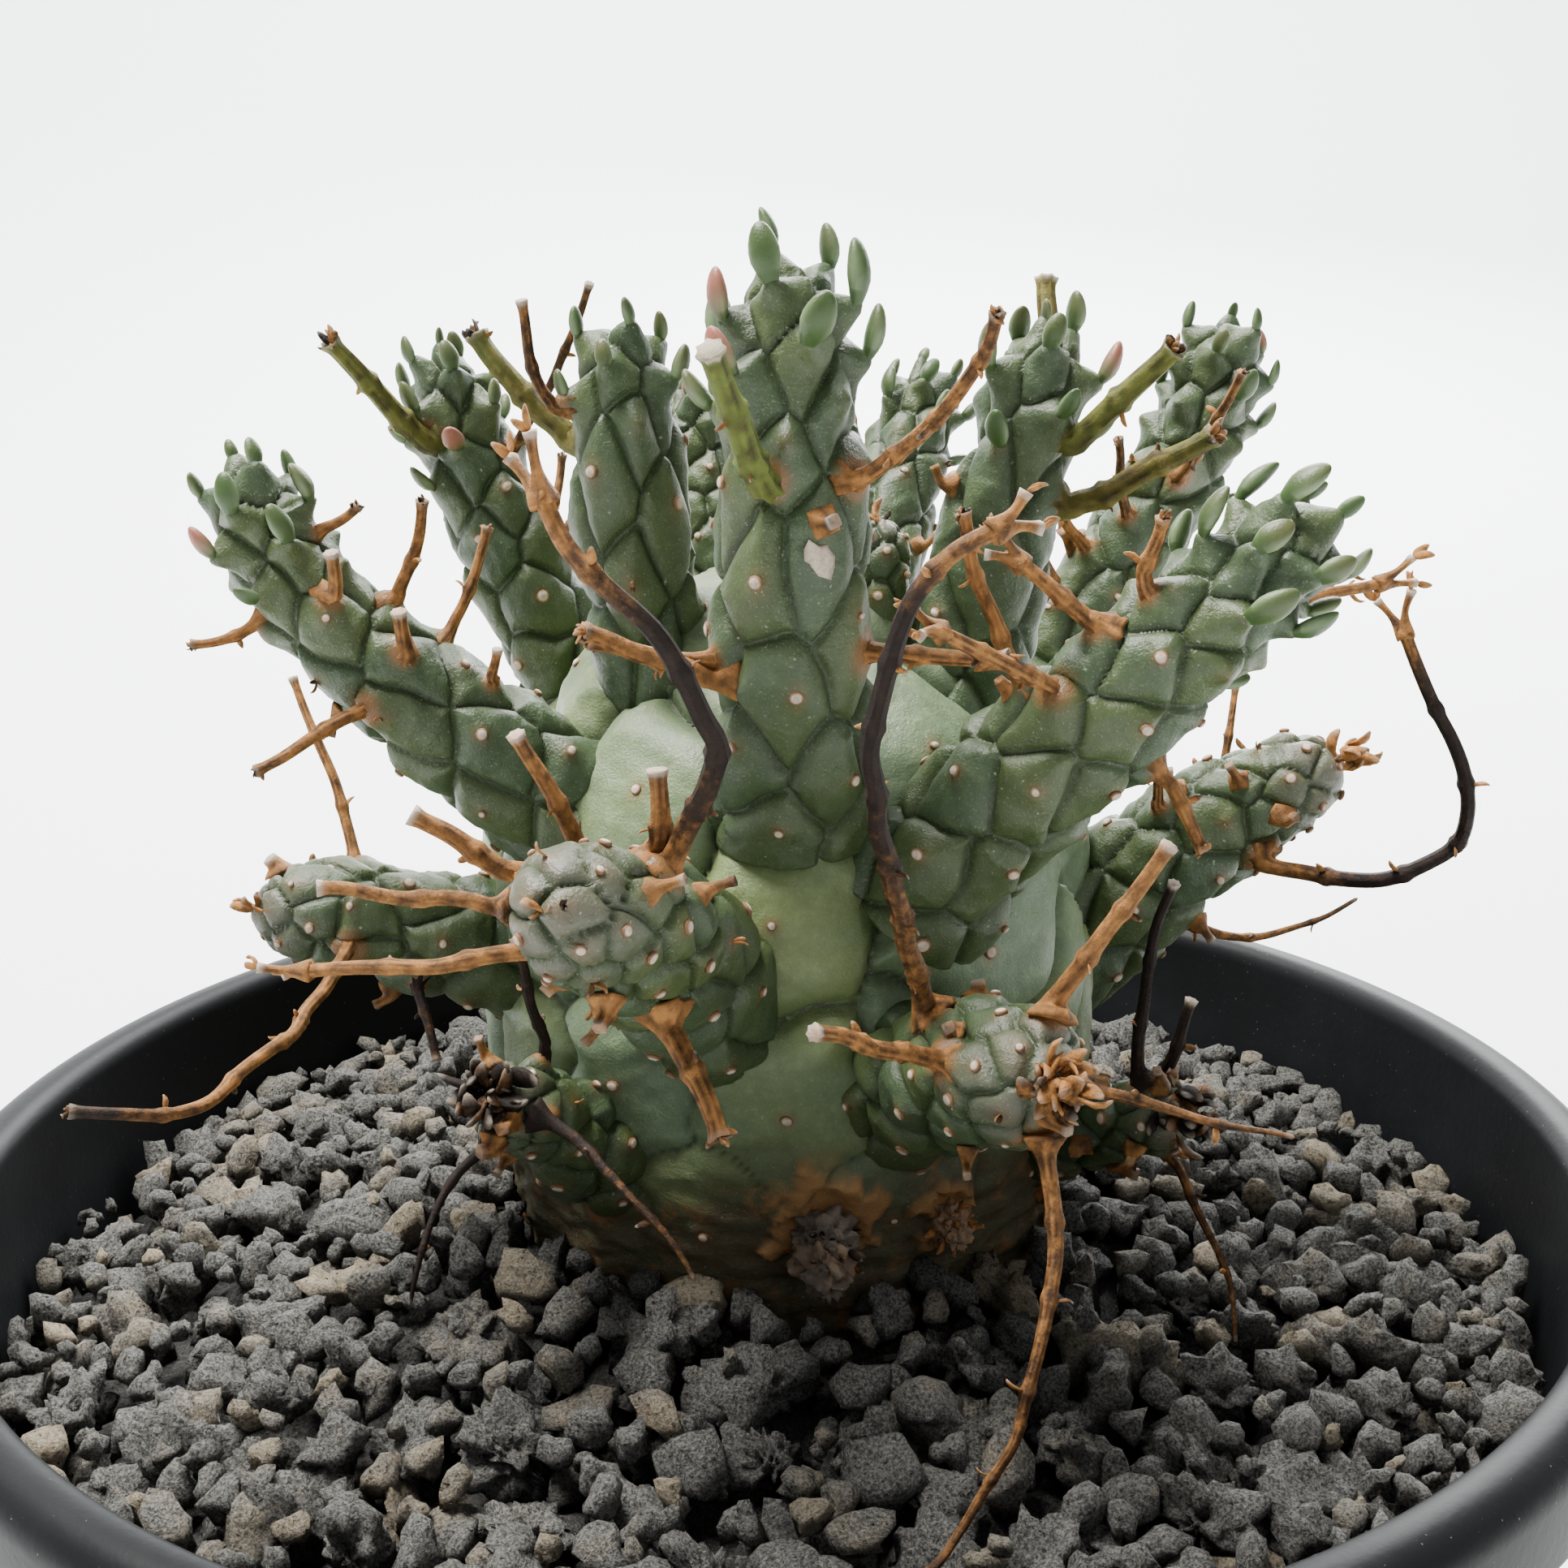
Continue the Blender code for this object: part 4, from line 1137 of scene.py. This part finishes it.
# Grain radii in mm: the middle one, their spread, the least and the most
GRAIN_MIDDLE, GRAIN_SPREAD, GRAIN_LEAST, GRAIN_MOST = 1.75, 0.48, 0.7, 4.0
BIG_GRAINS, BIG_LEAST, BIG_MOST = 110, 3.3, 5.0
HEAPED = 2.4  # how much higher the grains stand against the stem, in mm
BED_UNDER = 4.6  # from the grains' tops down to the bed, in mm
BED_FOOT = 22  # from the rim down to the foot of the bed's skirt, in mm
BREAKS = 10  # flat breaks on a grain


def make_grit(props, material):
    """Grains dropped one by one: each lands on those under it, up to the frame's own surface."""
    draw = np.random.default_rng(props.seed)
    mesh = NODES["lava_grit"].data
    tree = BVHTree.FromPolygons([v.co for v in mesh.vertices], [tuple(p.vertices) for p in mesh.polygons])
    sample = np.linspace(STEM_X + 20, RIM - 5.6, 24)
    tops = []
    for r in sample:
        hit = tree.ray_cast(Vector((0, r * MM, 0.2)), Vector((0, 0, -1)))[0]
        tops.append(hit.z / MM if hit else tops[-1])
    tops = np.array(tops)
    # The grains are heaped a little against the stem
    tops += HEAPED * np.exp(-(((sample - sample[0]) / 8) ** 2))
    wall = RIM - WALL_GAP
    stem = outline("caudex")
    foot = float(np.interp(TOP - 4, stem[:, 1], stem[:, 0]))

    count = props.grains
    radius = np.clip(draw.lognormal(math.log(GRAIN_MIDDLE), GRAIN_SPREAD, count),
                     GRAIN_LEAST, GRAIN_MOST)
    radius[:BIG_GRAINS] = draw.uniform(BIG_LEAST, BIG_MOST, BIG_GRAINS)
    radius = np.concatenate([np.sort(radius[: count // 2])[::-1], draw.permutation(radius[count // 2 :])])
    where, sizes = np.zeros((0, 3)), np.zeros(0)
    for r in radius:
        best = None
        for _ in range(7):
            out = math.sqrt(draw.uniform((foot - 0.5) ** 2, (wall - r * 0.8) ** 2))
            turn = draw.uniform(0, 2 * math.pi)
            x, y = out * math.cos(turn), out * math.sin(turn)
            if math.hypot(x - STEM_X, y) < foot + r * 0.55:
                continue
            top = float(np.interp(out, sample, tops))
            z = top - 5.0
            if len(sizes):
                flat = np.hypot(where[:, 0] - x, where[:, 1] - y)
                reach = (sizes + r) * 0.8
                hit = flat < reach
                if hit.any():
                    z = max(z, float((where[hit, 2] + np.sqrt(reach[hit] ** 2 - flat[hit] ** 2)).max()))
            over = z + r * 0.75 - top
            if over < 0.9 and (best is None or z < best[2]):
                best = (x, y, z)
        if best is not None:
            where = np.vstack([where, best])
            sizes = np.append(sizes, r)

    shapes = {level: primitive("ico_sphere", subdivisions=level, radius=1.0) for level in (2, 3, 4)}
    heaps = {level: Heap() for level in shapes}
    nearest = np.hypot(where[:, 0] + 3, where[:, 1] + 60)
    for i, (place, r) in enumerate(zip(where, sizes)):
        level = 4 if r > 3.2 and nearest[i] < 62 else 3 if r > 2.2 else 2
        ball, faces = shapes[level]
        squash = draw.uniform(0.72, 1.18, 3)
        # Flat breaks: the lump is cut back by random planes, then roughened
        cuts = unit(draw.normal(size=(BREAKS, 3)))
        depth = draw.uniform(0.52, 0.9, BREAKS)
        reach = np.min(np.where(ball @ cuts.T > 0.05, depth / np.maximum(ball @ cuts.T, 0.05), 9), axis=1)
        reach = np.minimum(reach, 1.25) * 1.12
        seed = int(draw.integers(100000))
        rough = 0.14 * wobble(ball, 1.3, seed, 2) - 0.22 * np.abs(wobble(ball, 0.7, seed + 1, 2))
        if level > 2:
            rough = rough - 0.15 * np.abs(wobble(ball, 0.4, seed + 2, 2))
        if level > 3:
            rough = rough - 0.06 * np.abs(wobble(ball, 0.24, seed + 3, 2))
        spin = np.linalg.qr(draw.normal(size=(3, 3)))[0]
        if np.linalg.det(spin) < 0:
            spin[0] *= -1
        points = (ball * (reach + rough)[:, None] * squash * r) @ spin + place
        # A grain against the pot's wall is stopped by it
        limit = np.interp(points[:, 2], (3, TOP - 7), (FOOT - 2, wall)) - 0.2
        points[:, :2] *= np.minimum(1, limit / np.hypot(points[:, 0], points[:, 1]))[:, None]
        warm = float(np.clip(draw.beta(1.1, 3.0) * 1.2, 0, 1))
        deep = ramp(np.interp(np.hypot(points[:, 0], points[:, 1]), sample, tops) - points[:, 2], 0.6, 4.0)
        heaps[level].add(points, faces, warm=warm, shade=0.75 * deep)
    made = [heap.build(f"lava_grains_{level}", material) for level, heap in heaps.items()]
    # The bed under the grains
    rows, around = 40, 120
    out = np.linspace(0.5, wall - 1.0, rows)
    angle = angles(around)
    height = np.interp(out, sample, tops) - BED_UNDER
    grid = np.stack([out[:, None] * np.cos(angle), out[:, None] * np.sin(angle),
                     np.repeat(height[:, None], around, 1)], -1).reshape(-1, 3)
    grid[:, 2] += 0.5 * wobble(grid, 5, 3)
    clear = wall - 4.5
    skirt = np.array([clear * np.cos(angle), clear * np.sin(angle), 0 * angle + TOP - BED_FOOT]).T
    points = np.vstack([grid, skirt])
    ends = np.array([(0, 0, height[0]), (0, 0, TOP - BED_FOOT)])
    bed = piece("grit_bed", np.vstack([points, ends]),
                [faces[:, ::-1] for faces in closed(rows + 1, around)],
                material,
                {"warm": np.full(len(points) + 2, 0.2), "shade": np.full(len(points) + 2, 0.7)})
    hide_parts("lava_grit")
    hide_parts(*[f"stone_{name}" for name in ("front", "right", "left", "back")])


def select_only(item):
    bpy.ops.object.select_all(action="DESELECT")
    item.select_set(True)
    bpy.context.view_layer.objects.active = item


def make_pot(props, material):
    """The pot, turned on its profile and drilled."""
    points = corners_of("pot")
    out = np.hypot(points[:, 0], points[:, 1])
    foot = FOOT
    mouth = out[points[:, 2] > TOP - 1.9].min()
    floor = points[(out < 8) & (points[:, 2] > 1)][:, 2].max()
    wall, lip, round_ = 2.0, props.lip / MM, 2.1
    neck = mouth + wall - 0.6
    inside = neck - wall
    profile = [(0.0, 0.0), (foot - 1.6, 0.0), (foot - 0.6, 0.3), (foot, 1.2)]
    profile += [(foot + (neck - foot) * t, 1.2 + (TOP - lip - 1.8) * t) for t in np.linspace(0.08, 1, 14)]
    profile += [(neck + 0.35, TOP - lip - 0.35), (neck + 0.8, TOP - lip - 0.2)]
    for centre, start in (((RIM - 1.0, TOP - lip + 1.0), -90), ((RIM - round_, TOP - round_), 0)):
        size = 1.0 if start < 0 else round_
        for a in np.radians(np.linspace(start, start + 90, 9)):
            profile.append((centre[0] + size * math.cos(a), centre[1] + size * math.sin(a)))
    for a in np.radians(np.linspace(90, 180, 9)):
        profile.append((mouth + 1.6 + 1.6 * math.cos(a), TOP - 1.6 + 1.6 * math.sin(a)))
    profile += [(mouth - 0.25, TOP - lip + 1.2), (inside, TOP - lip - 1.2)]
    low = foot - wall + 0.6
    profile += [(low + (inside - low) * t, floor + 1.2 + (TOP - lip - 2.4 - floor) * t)
                for t in np.linspace(0.92, 0, 12)]
    profile += [(low - 1.2, floor), (0.0, floor)]
    mesh = bpy.data.meshes.new("pot_finish")
    mesh.from_pydata([(r * MM, 0, z * MM) for r, z in profile],
                     [(i, i + 1) for i in range(len(profile) - 1)], [])
    pot = bpy.data.objects.new("pot_finish", mesh)
    bpy.context.collection.objects.link(pot)
    select_only(pot)
    bpy.ops.object.mode_set(mode="EDIT")
    bpy.ops.mesh.select_all(action="SELECT")
    bpy.ops.mesh.spin(steps=180, angle=2 * math.pi, center=(0, 0, 0), axis=(0, 0, 1))
    bpy.ops.mesh.select_all(action="SELECT")
    bpy.ops.mesh.remove_doubles(threshold=1e-6)
    bpy.ops.mesh.normals_make_consistent(inside=False)
    bpy.ops.object.mode_set(mode="OBJECT")
    mesh.materials.append(material)
    holes = points[(out > 15) & (out < 30) & (points[:, 2] < floor + 1)]
    ring = float(np.hypot(holes[:, 0], holes[:, 1]).mean())
    for i in range(6):
        centre = bearing(60 * i) * ring * MM
        bpy.ops.object.select_all(action="DESELECT")
        bpy.ops.mesh.primitive_cylinder_add(vertices=32, radius=0.002, depth=0.02, location=centre)
        cutter = bpy.context.object
        bpy.context.view_layer.objects.active = pot
        cut = pot.modifiers.new("drain", "BOOLEAN")
        cut.object, cut.operation, cut.solver = cutter, "DIFFERENCE", "EXACT"
        bpy.ops.object.modifier_apply(modifier=cut.name)
        bpy.data.objects.remove(cutter, do_unlink=True)
    select_only(pot)
    bpy.ops.object.shade_smooth_by_angle(angle=math.radians(40))
    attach(pot, "root")
    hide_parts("pot")


LENS, SENSOR = 42.86, 36.0
EYE = (-0.003, -0.128, 0.1484)
YAW, PITCH, ROLL = 1.8, 14.43, -0.73  # degrees: to the right, down, and about the line of sight


def make_stage():
    """A pale sweep under and behind the pot, its lamps, and the camera."""
    paper = Look("backdrop", 0.9, Emission_Color=(0.94, 1.0, 0.98), Emission_Strength=0.3)
    bpy.ops.object.select_all(action="DESELECT")
    bpy.ops.mesh.primitive_plane_add(size=1.0)
    floor = bpy.context.object
    floor.name = "floor"
    start, radius, top = 0.2, 2.4, 3.5
    bend = [(start + radius * math.sin(a), radius - radius * math.cos(a))
            for a in np.linspace(0, math.pi / 2, 48)]
    curve = [(-2.5, 0.0), *bend, (start + radius, top)]
    sweep = bmesh.new()
    rows = [[sweep.verts.new((x, y, z)) for y, z in curve] for x in (-3.0, 3.0)]
    for i in range(len(curve) - 1):
        sweep.faces.new((rows[0][i], rows[0][i + 1], rows[1][i + 1], rows[1][i])).smooth = True
    bmesh.ops.recalc_face_normals(sweep, faces=sweep.faces)
    sweep.to_mesh(floor.data)
    sweep.free()
    floor.data.materials.append(paper.done((0.84, 0.86, 0.86)))
    world = bpy.context.scene.world or bpy.data.worlds.new("World")
    bpy.context.scene.world = world
    world.use_nodes = True
    background = world.node_tree.nodes["Background"]
    background.inputs[0].default_value = (0.9, 0.95, 1.0, 1)
    background.inputs[1].default_value = 0.26
    for name, place, power, size, tint in (
        ("key", (-0.28, 0.06, 0.95), 32.0, 0.4, (1.0, 0.98, 0.94)),
        ("fill", (0.5, -0.7, 0.6), 1.2, 0.8, (0.98, 0.99, 1.0)),
        ("back", (0.3, 0.8, 0.7), 22.0, 0.6, (1.0, 1.0, 1.0)),
        ("backdrop", (0.0, 0.9, 1.6), 150.0, 1.8, (0.98, 1.0, 1.0)),
    ):
        lamp = bpy.data.lights.new(name, "AREA")
        lamp.energy, lamp.size, lamp.color = power, size, tint
        light = bpy.data.objects.new(name, lamp)
        light.location = place
        aim = Vector((0, 2.6, 0.5) if name == "backdrop" else (0, 0, 0.11))
        light.rotation_euler = (aim - Vector(place)).to_track_quat("-Z", "Y").to_euler()
        bpy.context.collection.objects.link(light)
    lens = bpy.data.cameras.new("camera")
    lens.lens, lens.sensor_width, lens.clip_start = LENS, SENSOR, 0.005
    camera = bpy.data.objects.new("camera", lens)
    bpy.context.collection.objects.link(camera)
    yaw, pitch, roll = map(math.radians, (YAW, PITCH, ROLL))
    ahead = Vector((math.sin(yaw) * math.cos(pitch), math.cos(yaw) * math.cos(pitch), -math.sin(pitch)))
    level = Vector((math.cos(yaw), -math.sin(yaw), 0))
    upright = level.cross(ahead)
    right = level * math.cos(roll) + upright * math.sin(roll)
    up = upright * math.cos(roll) - level * math.sin(roll)
    turn = camera.matrix_world.copy()
    for row in range(3):
        turn[row][0], turn[row][1], turn[row][2] = right[row], up[row], -ahead[row]
    turn.translation = Vector(EYE)
    camera.matrix_world = turn
    bpy.context.scene.camera = camera


# Operators


SHARED = {}


def shared():
    """Shapes and materials that several operators use."""
    if not SHARED:
        scene = bpy.context.scene
        SHARED["dome"] = primitive("uv_sphere", segments=10, ring_count=6, radius=1.0)
        SHARED["flake"] = primitive("uv_sphere", segments=6, ring_count=6, radius=1.0)
        SHARED["leaf"] = primitive("uv_sphere", segments=14, ring_count=12, radius=1.0)
        plant = scene.euphorbia_plant
        SHARED["skin"] = skin_look(plant, "arm skin", plant.skin)
        SHARED["stem skin"] = skin_look(plant, "stem skin", plant.stem)
        SHARED["stalk"] = stalk_look(scene.euphorbia_stalks)
        SHARED["scar"] = scar_look()
    return SHARED


class Step:
    bl_options = {"REGISTER", "UNDO"}


class EUPHORBIA_OT_pot(Step, bpy.types.Operator):
    """Turn the black pot with its rounded lip and drain holes"""

    bl_idname = "euphorbia.pot"
    bl_label = "Pot"

    def execute(self, context):
        make_pot(context.scene.euphorbia_pot, pot_look(context.scene.euphorbia_pot))
        return {"FINISHED"}


class EUPHORBIA_OT_grit(Step, bpy.types.Operator):
    """Drop the lava grains over their bed"""

    bl_idname = "euphorbia.grit"
    bl_label = "Lava grit"

    def execute(self, context):
        make_grit(context.scene.euphorbia_grit, grit_look(context.scene.euphorbia_grit))
        return {"FINISHED"}


class EUPHORBIA_OT_stem(Step, bpy.types.Operator):
    """Swell the stem into its cells"""

    bl_idname = "euphorbia.stem"
    bl_label = "Stem"

    def execute(self, context):
        made = make_stem(shared()["stem skin"])
        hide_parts("caudex")
        return {"FINISHED"}


class EUPHORBIA_OT_arms(Step, bpy.types.Operator):
    """Grow the tubercled arms"""

    bl_idname = "euphorbia.arms"
    bl_label = "Arms"

    def execute(self, context):
        grow_all(context.scene.euphorbia_plant)
        brown_feet(stalk_roots())
        for arm in GROWN.values():
            made = arm.build(shared()["skin"])
            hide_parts(arm.node)
        return {"FINISHED"}


class EUPHORBIA_OT_leaves(Step, bpy.types.Operator):
    """Stand the small leaves on the young tubercles"""

    bl_idname = "euphorbia.leaves"
    bl_label = "Leaves"

    def execute(self, context):
        make_leaves(leaf_look(context.scene.euphorbia_plant), shared())
        return {"FINISHED"}


class EUPHORBIA_OT_stalks(Step, bpy.types.Operator):
    """Grow the dried flower stalks"""

    bl_idname = "euphorbia.stalks"
    bl_label = "Dried stalks"

    def execute(self, context):
        make_stalks(context.scene.euphorbia_stalks, shared()["stalk"], shared())
        return {"FINISHED"}


class EUPHORBIA_OT_scars(Step, bpy.types.Operator):
    """Set the leaf scars, stubs and shrivelled leaves"""

    bl_idname = "euphorbia.scars"
    bl_label = "Scars and stubs"

    def execute(self, context):
        make_scars(context.scene.euphorbia_stalks, shared(), shared())
        return {"FINISHED"}


class EUPHORBIA_OT_stage(Step, bpy.types.Operator):
    """Set the backdrop, lights and camera"""

    bl_idname = "euphorbia.stage"
    bl_label = "Stage"

    def execute(self, context):
        make_stage()
        return {"FINISHED"}


OPERATORS = (EUPHORBIA_OT_pot, EUPHORBIA_OT_grit, EUPHORBIA_OT_stem, EUPHORBIA_OT_arms,
             EUPHORBIA_OT_leaves, EUPHORBIA_OT_stalks, EUPHORBIA_OT_scars, EUPHORBIA_OT_stage)
GROUPS = {"euphorbia_plant": EuphorbiaPlant, "euphorbia_stalks": EuphorbiaStalks,
          "euphorbia_grit": EuphorbiaGrit, "euphorbia_pot": EuphorbiaPot}


class EUPHORBIA_PT_panel(bpy.types.Panel):
    """Sizes, colours and steps of the potted euphorbia"""

    bl_label = "Potted Euphorbia"
    bl_space_type = "VIEW_3D"
    bl_region_type = "UI"
    bl_category = "Euphorbia"

    def draw(self, context):
        for key, group in GROUPS.items():
            for name in group.__annotations__:
                self.layout.prop(getattr(context.scene, key), name)
        for operator in OPERATORS:
            self.layout.operator(operator.bl_idname)


def register():
    for made in (*GROUPS.values(), *OPERATORS, EUPHORBIA_PT_panel):
        bpy.utils.register_class(made)
    for key, group in GROUPS.items():
        setattr(bpy.types.Scene, key, PointerProperty(type=group))


def unregister():
    for key in GROUPS:
        delattr(bpy.types.Scene, key)
    for made in (EUPHORBIA_PT_panel, *reversed(OPERATORS), *reversed(GROUPS.values())):
        bpy.utils.unregister_class(made)


def main():
    register()
    for operator in OPERATORS:
        group, name = operator.bl_idname.split(".")
        getattr(getattr(bpy.ops, group), name)()


if __name__ == "__main__":
    main()
